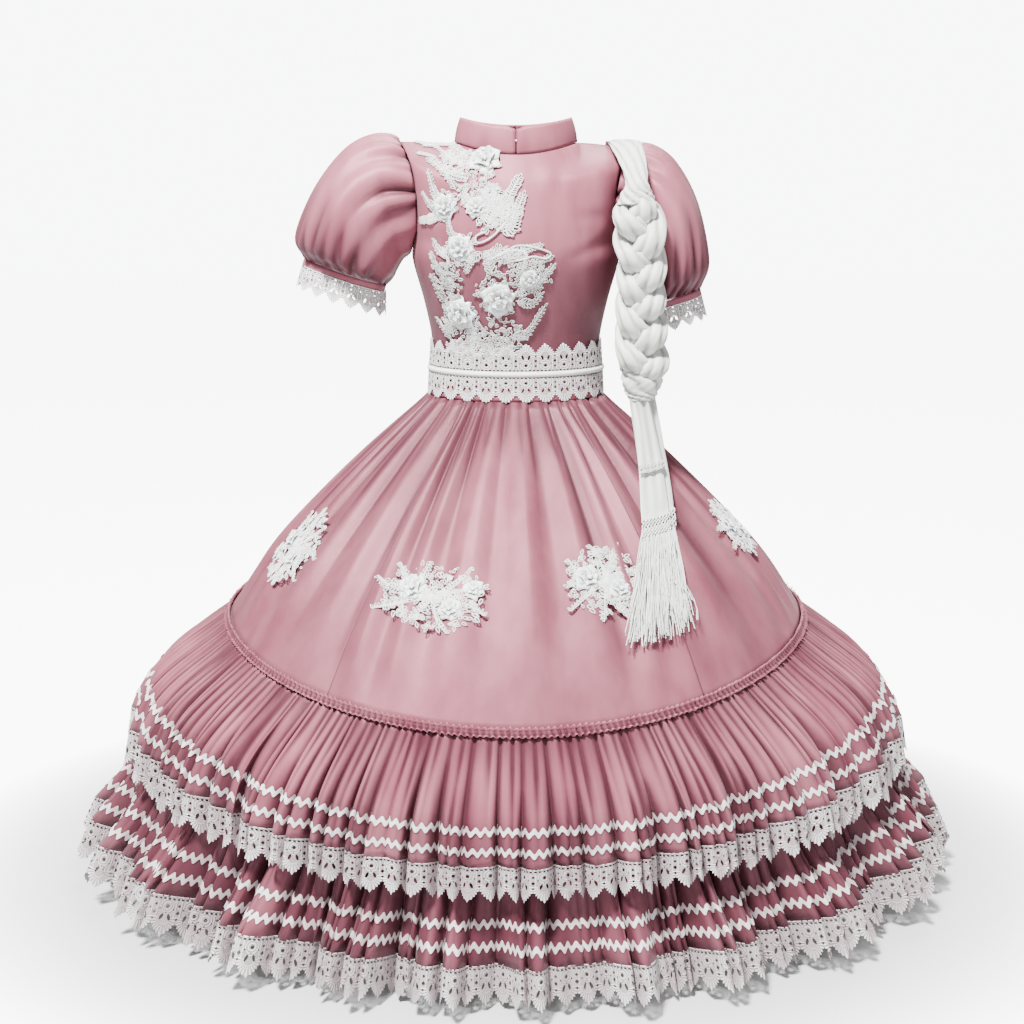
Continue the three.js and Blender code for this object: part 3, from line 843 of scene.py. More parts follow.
def lace(name, surface, us, vs, repeats, scallop=FINE_SCALLOP, ring=False, hub=axis_hub):
    """Lace along surface(u, v) from us[0] to us[1]: header at vs[0], scallop tips at vs[1]."""
    steps = np.linspace(us[0], us[1], 4000)
    walk = surface(steps, np.full(4000, mix(vs[0], vs[1], 0.3)))
    length = np.concatenate([[0], np.cumsum(np.linalg.norm(np.diff(walk, axis=0), axis=1))])
    bm = bmesh.new()
    bm.from_mesh(scallop)
    for i in range(1, repeats):
        shifted = scallop.copy()
        shifted.transform(Matrix.Translation((SCALLOP * i, 0, 0)))
        bm.from_mesh(shifted)
        bpy.data.meshes.remove(shifted)
    bmesh.ops.remove_doubles(bm, verts=bm.verts, dist=1e-3)
    mesh = bpy.data.meshes.new(name)
    bm.to_mesh(mesh)
    bm.free()
    at = points_of(mesh)
    share = at[:, 0] / (SCALLOP * repeats)
    u = np.interp(share * length[-1], length, steps)
    v = mix(vs[0], vs[1], at[:, 1] / LACE_TALL)
    set_uv(mesh, at[:, :2] * MM)
    set_painted_shade(mesh, surface, u, v)
    side = normals(surface, u, v, hub)[1]
    set_points(mesh, surface(u, v))
    finish_mesh(mesh, side < 0, ring)
    return new_piece(name, mesh, white_lace)


def hung(surface, hem):
    """The surface, but falling more steeply below its hem."""

    def falling(u, v):
        top = surface(u, np.minimum(v, hem))
        drop = surface(u, v) - top
        steep = drop * [0.5, 0.5, 1]
        long, short = np.linalg.norm(drop, axis=-1), np.linalg.norm(steep, axis=-1)
        return top + steep * (long / np.maximum(short, 1e-6))[..., None]

    falling.hollow = surface.hollow
    return falling


for name, surface, spans, hem in (
    ("upper", hung(upper, UPPER_HEM), UPPER_SPANS, UPPER_HEM),
    ("lower", hung(lower, LOWER_HEM), LOWER_SPANS, LOWER_HEM),
):
    for where, span in spans.items():
        probe = surface(np.linspace(*span, 3000), np.full(3000, hem))
        edge = np.linalg.norm(np.diff(probe, axis=0), axis=1).sum()
        piece = lace(f"{name}_edging_{where}", surface, span, (hem - 0.004, 1), round(edge / HEM_REPEAT))
        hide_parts(f"{name}_lace_{where}")

# ---- ric-rac ----

RICRAC_PITCH = 13.0


def ricrac(name, surface, spans, v, tall):
    """A zigzag braid on the flounce at v; tall is the height of its zigzag in shares of v."""
    on = raised(surface, 1.2)
    steps = np.linspace(0, 4 * (spans["front"][1] - spans["front"][0]), 16000)
    walk = surface(steps, np.full(16000, v))
    length = np.concatenate([[0], np.cumsum(np.linalg.norm(np.diff(walk, axis=0), axis=1))])
    periods = round(length[-1] / RICRAC_PITCH)

    def zigzag(u, w):
        t = np.interp(u * length[-1], length, steps)
        wave = np.sin(TURN * u * periods)
        return on(t, v + tall * (0.24 * wave + 0.56 * (w - 0.5)))

    # Painted shade: the braid takes most of the painted shade of the flounce beneath it.
    zigzag.hollow = lambda u, w: 0.8 * surface.hollow(np.interp(u * length[-1], length, steps), v + 0 * u)
    cloth(name, white_braid, zigzag, periods * 8, 1, ring=True, wall=0, size=(5.5, 0.01))


for row, (surface, spans, v, tall) in {
    "upper_1": (upper, UPPER_SPANS, 0.54, 0.062),
    "upper_2": (upper, UPPER_SPANS, 0.668, 0.062),
    "lower_1": (lower, LOWER_SPANS, 0.752, 0.035),
    "lower_2": (lower, LOWER_SPANS, 0.822, 0.035),
}.items():
    ricrac(f"ricrac_{row}", surface, spans, v, tall)

# ---- ruched header over the seam ----

HEADER_UP, HEADER_DOWN = 0.011, 0.014
RUCHES = 340
ruche_size = draw.uniform(0.6, 1.3, RUCHES)


def ruche_wave(s, v):
    """The ruche that each place lies in, its share of the way to the next, and the height of its pucker."""
    p = s * RUCHES
    k = np.floor(p).astype(int)
    return k, p - k, np.sin(TURN * p + 0.8 * np.sin(4 * v + 0.7 * k % 3))


def header(s, v):
    down = 2 * v - 1
    above, below = along(SKIRT, 1 + down * HEADER_UP), along(UPPER, down * HEADER_DOWN)
    row = np.where((down < 0)[..., None], above, below)
    angle = TURN * s
    out = unit(vec(np.sin(angle), -np.cos(angle), 0.7))
    k, share, wave = ruche_wave(s, v)
    size = mix(ruche_size[k % RUCHES], ruche_size[(k + 1) % RUCHES], share)
    edge = np.abs(down) ** 3
    rope = np.exp(-((down / 0.3) ** 2))
    lift = 2.4 + 1.2 * rope + size * wave * (1.2 + 1.6 * edge) + 2.6 * edge
    droop = vec(0 * s, 0 * s, np.sign(down) * -edge * size * 1.8 * (1 + np.sin(TURN * s * RUCHES + 2)))
    return level(row, angle) + out * lift[..., None] + droop


# Painted shade: the ruched strip dark, darker in the hollows of its puckers and along its stitching, lighter
# at its frilled edges.
def header_shade(s, v):
    wave = ruche_wave(s, v)[2]
    stitched = np.exp(-(((np.abs(2 * v - 1) - 0.45) / 0.12) ** 2))
    return 0.86 + 0.3 * stitched - 0.26 * wave - 0.5 * np.abs(2 * v - 1) ** 6


header.hollow = header_shade
for where, us in (("front", (-0.25, 0.25)), ("back", (0.25, 0.75))):
    piece = cloth(f"ruching_{where}", rose_satin, header, RUCHES * 2, 6, us, wall=0.8, size=(2.6, 0.02))
    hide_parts(f"flounce_header_{where}")

# ---- bodice ----

# Rows from waist to shoulder: half width, edge y, centre depth, edge z, centre z, roundness.
BODICE_FRONT = [
    [136.8, 0, 101, 2, 2, 1],
    [133.5, 0, 103, 45, 45, 1],
    [145, 0, 117, 105, 105, 1],
    [160, 0, 128, 160, 157, 1],
    [162, 0, 129, 184, 186, 1],
    [151, -45.4, 122, 215, 222, 0.9],
    [150, -57.9, 110, 262, 258, 0.85],
    [160, -46.5, 95, 315, 292, 0.8],
    [178, 0, 75, 348, 326, 0.8],
]
BACK_DEPTHS = [101, 100, 107, 112, 112, 110, 106, 92, 65]
BACK_HEIGHTS = [2, 45, 105, 160, 188, 225, 268, 313, 350]
BODICE_BACK = [
    [wide, edge_y, depth, edge_z, z, roundness]
    for (wide, edge_y, _, edge_z, _, roundness), depth, z in zip(BODICE_FRONT, BACK_DEPTHS, BACK_HEIGHTS)
]
NECK_SIDE, NECK_SIDE_Z, NECK_TIP, NECK_TIP_Z = 95.0, 345.0, 178.0, 347.0
SASH_WEIGHT = 8.0  # how far the sash presses the wearer's left shoulder down
# Soft troughs on the front, in millimetres: x and z of one end, x and z of the other, half width, depth.
FRONT_TROUGHS = [
    (118, 60, 84, 150, 9, 2.2),
    (96, 48, 66, 118, 7, 1.8),
    (40, 50, 52, 96, 8, 1.2),
    (-60, 50, -66, 110, 8, 1.4),
    (-118, 62, -100, 140, 8, 2.0),
    (142, 200, 70, 168, 10, 2.0),
    (-140, 205, -72, 170, 10, 2.0),
    (134, 236, 84, 236, 9, 1.6),
    (-132, 240, -80, 232, 9, 1.6),
    (20, 305, 34, 230, 12, 1.2),
    (72, 322, 60, 250, 12, 1.6),
]
BACK_TROUGHS = [
    (112, 58, 70, 140, 9, 2.0),
    (64, 50, 50, 118, 8, 1.8),
    (-66, 50, -48, 124, 8, 1.8),
    (-114, 60, -78, 132, 9, 2.0),
    (138, 214, 66, 190, 11, 2.0),
    (-136, 208, -70, 196, 11, 2.0),
    (8, 60, 4, 180, 7, 0.9),
]


def troughs(x, z, rows):
    """Soft hollows of the cloth at x, z."""
    total = 0
    for x0, z0, x1, z1, wide, depth in rows:
        dx, dz = x1 - x0, z1 - z0
        t = ((x - x0) * dx + (z - z0) * dz) / (dx * dx + dz * dz)
        off = ((x - x0) * dz - (z - z0) * dx) / math.hypot(dx, dz)
        ends = rise(-0.15, 0.2, t) * (1 - rise(0.55, 1.15, t))
        beside = np.exp(-(((off - 1.6 * wide) / wide) ** 2))
        total = total - depth * ends * (np.exp(-((off / wide) ** 2)) - 0.45 * beside)
    return total


def bodice(rows, facing, hollows):
    rows = np.asarray(rows, float)
    last = len(rows) - 1

    def surface(u, v):
        a, edge_y, depth, edge_z, centre_z, roundness = np.moveaxis(along(rows, v), -1, 0)
        whole = math.pi / 2 * roundness
        middle = (np.cos(u * whole) - np.cos(whole)) / (1 - np.cos(whole))
        x = a * np.sin(u * whole) / np.sin(whole)
        p = vec(x, mix(edge_y, -depth, middle), mix(edge_z, centre_z, middle))
        q = np.clip((np.abs(u) - 0.5) * 2, 0, 1)
        s, c = np.sin(math.pi * u), np.cos(math.pi * u)
        neck = np.abs(u) < 0.5
        top = vec(
            np.where(neck, NECK_SIDE * s, np.sign(u) * mix(NECK_SIDE, NECK_TIP, q)),
            np.where(neck, -rows[last][2] * c, 0),
            np.where(neck, NECK_SIDE_Z * s * s + rows[last][4] * c * c, mix(NECK_SIDE_Z, NECK_TIP_Z, q)),
        )
        p = mix(p, top, np.clip(v * last - (last - 1), 0, 1)[..., None])
        p[..., 2] -= SASH_WEIGHT * rise(0.5, 1, u) * rise(0.84, 1, v)
        angle = p[..., 0] / 160
        out = unit(vec(np.sin(angle), -np.cos(angle), 0 * angle))
        p = p + out * (troughs(p[..., 0], p[..., 2], hollows) * (1 - np.abs(u) ** 6))[..., None]
        p[..., 1] = np.minimum(p[..., 1], -0.25)
        return p * [1, facing, 1]

    return surface


front, back = bodice(BODICE_FRONT, 1, FRONT_TROUGHS), bodice(BODICE_BACK, -1, BACK_TROUGHS)


def bodice_shade(u, v):
    """Painted shade: darker below the bust, near the waist and at the sides."""
    below_bust, at_waist = 1 - rise(0.38, 0.6, v), 1 - rise(0.05, 0.45, v)
    return 0.37 + 0.27 * below_bust + 0.25 * at_waist + 0.12 * np.abs(u) ** 4


for surface in (front, back):
    shaded(surface, bodice_shade)
for name, surface, us in (
    ("bodice_front", front, (-1, 1)),
    ("bodice_back_right", back, (-1, 0)),
    ("bodice_back_left", back, (0, 1)),
):
    piece = cloth(f"{name}_panel", rose_satin, surface, 32 * int(us[1] - us[0]), 50, us, size=(0.4, 0.35))
    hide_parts(name)

COLLAR = [[95, 346, 75, 327, 65, 351.4], [86, 383, 66, 368, 60, 374]]
SLIT = 0.0016  # turns left open at the centre front


def collar(s, v):
    bow = vec(np.sin(TURN * s), -np.cos(TURN * s), 0 * s)
    round_edge = 1 - rise(0.94, 1.0, np.abs(1 - 2 * (s % 1)))
    p = level(along(COLLAR, v), TURN * s) + bow * (1.5 * np.sin(math.pi * v))[..., None]
    return p - vec(0 * s, 0 * s, 5 * v * (1 - round_edge))


# Painted shade: the collar darker towards its foot, with a painted highlight along its top edge.
shaded(collar, lambda s, v: 0.32 + 0.14 * (1 - rise(0, 0.5, v)) - 0.3 * rise(0.86, 0.94, v))
for where, us in (("left", (SLIT, 0.5)), ("right", (0.5, 1 - SLIT))):
    piece = cloth(f"collar_{where}_half", rose_satin, collar, 48, 8, us, size=(0.26, 0.036))
    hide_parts(f"collar_{where}")

# ---- waist ----


def waist(s, z):
    t, below = np.where(z > 0, z / 45, 0), np.where(z < 0, -z / 42, 0)
    a = mix(136.8, 133.5, t) + 2.5 * below
    bf, bb = mix(101, 103, t) + 2 * below, mix(101, 100, t) + 2 * below
    return level(vec(a, z, bf, z, bb, z), TURN * s)


def waist_between(start, stop, lift):
    return raised(lambda s, v: waist(s, mix(start, stop, v)), lift)


band = waist_between(1.4, -41.8, 0)
piece = cloth("waistband_satin", rose_satin, band, 96, 8, ring=True, size=(0.77, 0.043))
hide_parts("waistband")
for where, tip in (("upper", 49), ("lower", -46)):
    on = waist_between(math.copysign(2.5, tip), tip, 2.4)
    # The waist lace is darker all over.
    shaded(on, lambda s, v: 0.4 + 0 * s)
    piece = lace(f"waist_edging_{where}", on, (0, 1), (0, 1), 25, PLAIN_SCALLOP, ring=True)
    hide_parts(f"waist_lace_{where}")


def waist_cord(s, v):
    around = TURN * v
    centre = waist(s, 0 * s)
    out = unit(centre * [1, 1, 0])
    twist = 1 + 0.1 * np.sin(TURN * (s * 150 + v))
    upright = vec(0 * s, 0 * s, 3.4 * np.sin(around) * twist)
    return centre + out * (3.0 + 1.5 * np.cos(around) * twist)[..., None] + upright


# ---- sleeves ----

ARMHOLE_Z, ARMHOLE_HIGH = 266.0, 82.0
ARMHOLE_X = [[184, 162], [215, 151], [262, 150], [315, 160], [348, 178]]
SLEEVE_FOLDS = 12
SLEEVE_FOLD_HEIGHTS = [[0.8], [3.4], [2], [1.6], [3.4], [1.8]]
# Rows from armhole to cuff: outer edge x, outer edge z, inner edge x, inner edge z, half depth.
SLEEVES = {
    "left": [
        [178.6, 340, 162.6, 184, 58],
        [205, 342, 178, 165, 70],
        [245, 318, 186, 142, 84],
        [282, 255, 188, 124, 90],
        [300, 168, 184, 106, 84],
        [290, 124, 178, 94, 53],
    ],
    "right": [
        [178.6, 348, 162.6, 184, 58],
        [212, 357, 176, 171, 72],
        [262, 336, 186, 153, 88],
        [312, 276, 192, 143, 96],
        [341, 205, 200, 136, 88],
        [331, 171, 205, 129, 54],
    ],
}
BAND, SLEEVE_LACE = 11.0, 38.0
# Long creases of a sleeve: turn and place at one end, turn and place at the other, half width, depth.
SLEEVE_CREASES = [
    (0.235, -0.05, 0.225, 0.6, 0.014, 12),
    (0.275, -0.05, 0.3, 0.5, 0.014, 5),
    (0.03, -0.05, 0.03, 0.22, 0.012, 5),
    (0.075, -0.05, 0.08, 0.26, 0.012, 6),
    (0.12, -0.05, 0.13, 0.24, 0.012, 6),
    (0.96, -0.05, 0.95, 0.24, 0.012, 5),
    (0.9, -0.05, 0.89, 0.22, 0.012, 5),
    (0.1, 0.6, 0.12, 1.0, 0.014, 6),
    (0.14, 0.5, 0.17, 1.0, 0.016, 9),
    (0.185, 0.55, 0.21, 1.0, 0.014, 8),
    (0.22, 0.45, 0.26, 1.0, 0.016, 10),
    (0.29, 0.5, 0.31, 1.0, 0.016, 8),
    (0.36, 0.6, 0.35, 1.0, 0.016, 6),
    (0.05, 0.66, 0.06, 1.0, 0.014, 5),
    (0.74, -0.05, 0.76, 0.5, 0.014, 9),
    (0.8, 0.5, 0.78, 1.0, 0.016, 8),
    (0.72, 0.5, 0.7, 1.0, 0.016, 8),
    (0.66, 0.6, 0.66, 1.0, 0.014, 6),
    (0.86, 0.58, 0.85, 1.0, 0.014, 7),
    (0.92, 0.62, 0.91, 1.0, 0.014, 6),
    (0.52, 0.1, 0.5, 0.7, 0.02, 4),
]
CUFF_GATHERS = 34
gather_size = draw.uniform(0.5, 1.5, CUFF_GATHERS)


def sleeve(rows, mirror):
    edge_z, edge_x = np.array(ARMHOLE_X, float).T

    def creased(s, t):
        """Height of the creases and cuff gathers at turn s and place t."""
        height = 0
        for s0, t0, s1, t1, wide, depth in SLEEVE_CREASES:
            share = np.clip((t - t0) / (t1 - t0), 0, 1)
            off = (s - mix(s0, s1, share) + 0.5) % 1 - 0.5
            ends = rise(0, 0.75, share) if t1 == 1 else 1 - rise(0.1, 1.0, share)
            sharp = np.exp(-np.abs(off) / np.where(off < 0, 0.55 * wide, 1.3 * wide))
            beside = np.exp(-(((off + 2.0 * wide) / (1.2 * wide)) ** 2))
            height = height - depth * ends * (sharp - 0.45 * beside)
        p = s * CUFF_GATHERS
        k = np.floor(p).astype(int)
        size = mix(gather_size[k % CUFF_GATHERS], gather_size[(k + 1) % CUFF_GATHERS], p - k)
        pinch = 2.4 * np.exp(-(1 - t) / 0.09) + 2.0 * np.exp(-t / 0.08) * rise(-0.4, 0.4, np.cos(TURN * s))
        return height - size * pinch * (1 - np.abs(np.sin(math.pi * p)) ** 0.7)

    def surface(s, t):
        tx, tz, bx, bz, deep = np.moveaxis(along(rows, t), -1, 0)
        c, n = np.cos(TURN * s), np.sin(TURN * s)
        centre = vec((tx + bx) / 2, 0 * s, (tz + bz) / 2)
        p = centre + vec((tx - bx) / 2 * c, -deep * n, (tz - bz) / 2 * c)
        free = np.clip(1 - t * (len(rows) - 1), 0, 1)
        seam_x = np.interp(ARMHOLE_Z + ARMHOLE_HIGH * c, edge_z, edge_x) + 0.7
        height = along(SLEEVE_FOLD_HEIGHTS, t)[..., 0] * fold(s, SLEEVE_FOLDS)
        height = height + creased(s, t)
        out = unit(p - centre * [1, 0, 1])
        q = p + out * height[..., None]
        q[..., 0] = mirror * mix(q[..., 0], seam_x, free)
        return q

    # Painted shade: darker towards the cuff, along the armhole seam and in the creases.
    surface.hollow = lambda s, t: 0.3 + 0.62 * rise(0.35, 1, t) + 0.2 * np.exp(-t / 0.02) - creased(s, t) / 8
    return surface


def cuff(rows, mirror, start, stop, grow, lift, hang=0.0):
    tx, tz, bx, bz, deep = rows[-1]
    half = np.array([(tx - bx) / 2, 0, (tz - bz) / 2])
    down = unit(unit(np.array([half[2], 0, -half[0]])) - [0, 0, hang])
    centre = np.array([(tx + bx) / 2, 0, (tz + bz) / 2])

    def surface(s, v):
        k = 1 + grow * v / 60 + lift / 60
        c, n = np.cos(TURN * s) * k, -deep * np.sin(TURN * s) * k
        p = centre + half * c[..., None] + vec(0 * s, n, 0 * s) + down * mix(start, stop, v)[..., None]
        return p * [mirror, 1, 1]

    return surface


for where, rows in SLEEVES.items():
    mirror = 1 if where == "left" else -1
    heart_z = (rows[3][1] + rows[3][3]) / 2
    heart_x = mirror * 240
    hub = lambda p, x=heart_x, z=heart_z: vec(x + 0 * p[..., 0], 0 * p[..., 0], np.maximum(z, p[..., 2] - 40))
    cuff_x = mirror * (rows[5][0] + rows[5][2]) / 2
    cuff_hub = lambda p, x=cuff_x: p * [0, 0, 1] + [x, 0, 0]
    puff = sleeve(rows, mirror)
    piece = cloth(
        f"puff_{where}", rose_satin, puff, CUFF_GATHERS * 4, 38, ring=True, hub=hub, size=(0.5, 0.3)
    )
    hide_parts(f"sleeve_{where}")
    band = cuff(rows, mirror, 0.5, BAND, 0, 1)
    piece = cloth(f"cuff_band_{where}", rose_satin, band, 72, 3, ring=True, hub=cuff_hub, size=(0.4, 0.011))
    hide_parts(f"sleeve_band_{where}")
    edge = cuff(rows, mirror, BAND - 1, BAND + SLEEVE_LACE, 5, 2.2, 0.8)
    piece = lace(f"cuff_edging_{where}", edge, (0, 1), (0, 1), 15, PLAIN_SCALLOP, ring=True, hub=cuff_hub)
    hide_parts(f"sleeve_lace_{where}")

cord_hub = lambda p: unit(p * [1, 1, 0]) * 120
piece = cloth("waist_cord", white_braid, waist_cord, 450, 8, ring=True, wall=0, hub=cord_hub)
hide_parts("waist_braid")

# ---- applique ----


def leaf_mesh(name, sides=8):
    """A corded leaf 1 long from its base at the origin: a raised rim round an open middle."""
    bm = bmesh.new()
    bmesh.ops.create_circle(bm, cap_ends=True, segments=sides, radius=0.5)
    for vert in bm.verts:
        along_leaf = vert.co.x + 0.5
        vert.co.y *= 0.62 * (1.15 - 0.5 * along_leaf)
        vert.co.x = along_leaf
    for depth, thickness in ((0.13, 0.08), (-0.1, 0.09)):
        middle = max(bm.faces, key=lambda f: len(f.verts))
        bmesh.ops.inset_individual(bm, faces=[middle], thickness=thickness, depth=depth)
    bmesh.ops.delete(bm, geom=[max(bm.faces, key=lambda f: len(f.verts))], context="FACES_ONLY")
    mesh = bpy.data.meshes.new(name)
    bm.to_mesh(mesh)
    bm.free()
    return mesh


def petal_mesh(name, cup, wide):
    """A petal 1 long, cupped and rolled back at its tip."""
    bm = bmesh.new()
    bmesh.ops.create_grid(bm, x_segments=5, y_segments=4, size=0.5)
    for vert in bm.verts:
        x, y = vert.co.x + 0.5, vert.co.y * 2
        spread = wide * (0.22 + 0.95 * math.sin(math.pi * min(x * 0.66 + 0.06, 1))) * (1 - 0.5 * x**9)
        vert.co = (x * (1 - 0.3 * y * y * x), y * spread / 2, cup * (x**1.4 + 0.8 * y * y * x) - 0.2 * x**4)
    mesh = bpy.data.meshes.new(name)
    bm.to_mesh(mesh)
    bm.free()
    return mesh


def round_cord(p, radius, roundness):
    """A round cord along points p, as a mesh in the row frame."""
    curve = bpy.data.curves.new("cord", "CURVE")
    curve.dimensions = "3D"
    curve.bevel_depth, curve.bevel_resolution = radius * MM, roundness
    spline = curve.splines.new("POLY")
    spline.points.add(len(p) - 1)
    placed = np.column_stack([(p - [0, 0, SHOULDER_Z]) * MM, np.ones(len(p))])
    spline.points.foreach_set("co", placed.ravel())
    holder = bpy.data.objects.new("cord", curve)
    bpy.context.scene.collection.objects.link(holder)
    mesh = bpy.data.meshes.new_from_object(holder.evaluated_get(bpy.context.evaluated_depsgraph_get()))
    bpy.data.objects.remove(holder)
    return mesh


def bead_mesh():
    bm = bmesh.new()
    bmesh.ops.create_icosphere(bm, subdivisions=1, radius=1)
    mesh = bpy.data.meshes.new("bead")
    bm.to_mesh(mesh)
    bm.free()
    return mesh


LEAF, BEAD = leaf_mesh("leaf"), bead_mesh()
LOW_PETAL, HIGH_PETAL = petal_mesh("low petal", 0.12, 0.84), petal_mesh("high petal", 0.28, 0.74)


class Applique:
    """Leaves, cords, petals and beads laid on surface(u, v); scale gives millimetres for each of u and v."""

    def __init__(self, name, surface, lift, scale, nodes):
        self.name, self.surface, self.lift, self.scale, self.nodes = name, surface, lift, scale, nodes
        self.parts = {"cord": bmesh.new(), "petals": bmesh.new(), "beads": bmesh.new()}
        self.shade = {part: [] for part in self.parts}

    def basis(self, u, v, turn, up=0.0):
        at_u, at_v = np.array([u], float), np.array([v], float)
        n = normals(self.surface, at_u, at_v, axis_hub)[0][0]
        p = self.surface(at_u, at_v)[0] + n * (self.lift + up)
        run = unit(self.surface(at_u + 1e-3, at_v)[0] - self.surface(at_u - 1e-3, at_v)[0])
        across = np.cross(n, run)
        x = run * math.cos(turn) + across * math.sin(turn)
        y = np.cross(n, x)
        place = Matrix.Identity(4)
        for i in range(3):
            place[i][0], place[i][1], place[i][2] = x[i], y[i], n[i]
            place[i][3] = (p[i] - (SHOULDER_Z if i == 2 else 0)) * MM
        return place

    def stamp(self, part, mesh, place, size):
        local = points_of(mesh)
        # Painted shade: leaves darker at the foot of their raised rims, petals darker towards the flower's
        # centre, beads darker underneath.
        low = 1 - local[:, 2] / 0.13 if mesh == LEAF else 1.15 - 1.4 * local[:, 0]
        self.shade[part].append(np.clip(low, 0, 1) if part != "beads" else 0.5 - 0.5 * local[:, 2])
        copy = mesh.copy()
        copy.transform(place @ Matrix.Diagonal((*[s * MM for s in size], 1)))
        self.parts[part].from_mesh(copy)
        bpy.data.meshes.remove(copy)

    def leaf(self, u, v, turn, long, up=0.0, wide=1.0):
        self.stamp("cord", LEAF, self.basis(u, v, turn, up), (long, long * wide, long))

    def bead(self, u, v, size, up):
        self.stamp("beads", BEAD, self.basis(u, v, 0, up), (size, size, size))

    def flower(self, u, v, size, petals=7, up=1.0):
        """Two rings of petals round a cluster of beads."""
        start = draw.uniform(0, TURN)
        rings = ((LOW_PETAL, size, petals, up), (HIGH_PETAL, 0.62 * size, petals - 2, up + 1.5))
        for mesh, reach, count, rise_by in rings:
            for i in range(count):
                turn = start + TURN * (i + 0.3 * (rise_by > up)) / count + draw.uniform(-0.12, 0.12)
                long = reach * draw.uniform(0.88, 1.08)
                self.stamp("petals", mesh, self.basis(u, v, turn, rise_by), (long, long, long))
        for i in range(6):
            turn = TURN * i / 5
            away = 0 if i == 5 else 0.1 * size
            du, dv = away * math.cos(turn) / self.scale[0], away * math.sin(turn) / self.scale[1]
            self.bead(u + du, v + dv, 0.065 * size + 0.5, up + 0.24 * size)

    def cord(self, corners, radius, up=0.6):
        """A cord along a smooth line through (u, v) corners."""
        line = along(corners, np.linspace(0, 1, 7 * len(corners)))
        p = raised(self.surface, self.lift + up)(line[:, 0], line[:, 1])
        mesh = round_cord(p, radius, 1)
        self.parts["cord"].from_mesh(mesh)
        self.shade["cord"].append(np.zeros(len(mesh.vertices)))
        return line

    def spray(self, corners, long, step=5.0, open_by=0.8):
        """A stem with leaves in pairs, smaller towards its tip."""
        line = self.cord(corners, 0.65)
        mm = line * self.scale
        walked = np.concatenate([[0], np.cumsum(np.linalg.norm(np.diff(mm, axis=0), axis=1))])
        for n, at in enumerate(np.arange(step * 0.6, walked[-1], step)):
            u, v = np.interp(at, walked, line[:, 0]), np.interp(at, walked, line[:, 1])
            ahead = min(at + 1.5, walked[-1])
            du = np.interp(ahead, walked, mm[:, 0]) - u * self.scale[0]
            dv = np.interp(ahead, walked, mm[:, 1]) - v * self.scale[1]
            run = math.atan2(dv, du)
            size = 1.2 * long * mix(1.05, 0.6, at / walked[-1]) * draw.uniform(0.85, 1.15)
            for side in (-1, 1):
                self.leaf(u, v, run + side * open_by, size, 0.1 + 0.5 * (n % 2))
        tip = line[-1]
        self.leaf(tip[0], tip[1], run, long * 0.8)

    def ground(self, u, v, wide, tall, count, long=8.0):
        """Small loops that fill an oval between the sprays."""
        for _ in range(count):
            turn, reach = draw.uniform(0, TURN), math.sqrt(draw.uniform(0, 1))
            at_u = u + wide * reach * math.cos(turn) / self.scale[0]
            at_v = v + tall * reach * math.sin(turn) / self.scale[1]
            self.leaf(at_u, at_v, draw.uniform(0, TURN), long * draw.uniform(0.7, 1.3), draw.uniform(0, 1.2))
            if draw.uniform() < 0.12:
                self.bead(at_u, at_v, 1.1, 1.6)

    def done(self):
        looks = {"cord": corded_lace, "petals": petal_satin, "beads": pearl}
        pieces = {}
        for part, bm in self.parts.items():
            mesh = bpy.data.meshes.new(f"{self.name}_{part}")
            if part == "cord":
                bmesh.ops.recalc_face_normals(bm, faces=bm.faces)
            bm.to_mesh(mesh)
            bm.free()
            shade = mesh.attributes.new("hollow", "FLOAT", "POINT")
            shade.data.foreach_set("value", np.concatenate(self.shade[part]))
            pieces[part] = new_piece(f"{self.name}_{part}", mesh, looks[part])
            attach(pieces[part], "root")
        give_wall(pieces["petals"], 0.35)
        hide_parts(*self.nodes)


chest = Applique("chest_flowers", front, 1.6, (240, 346), ["bodice_applique_upper", "bodice_applique_lower"])
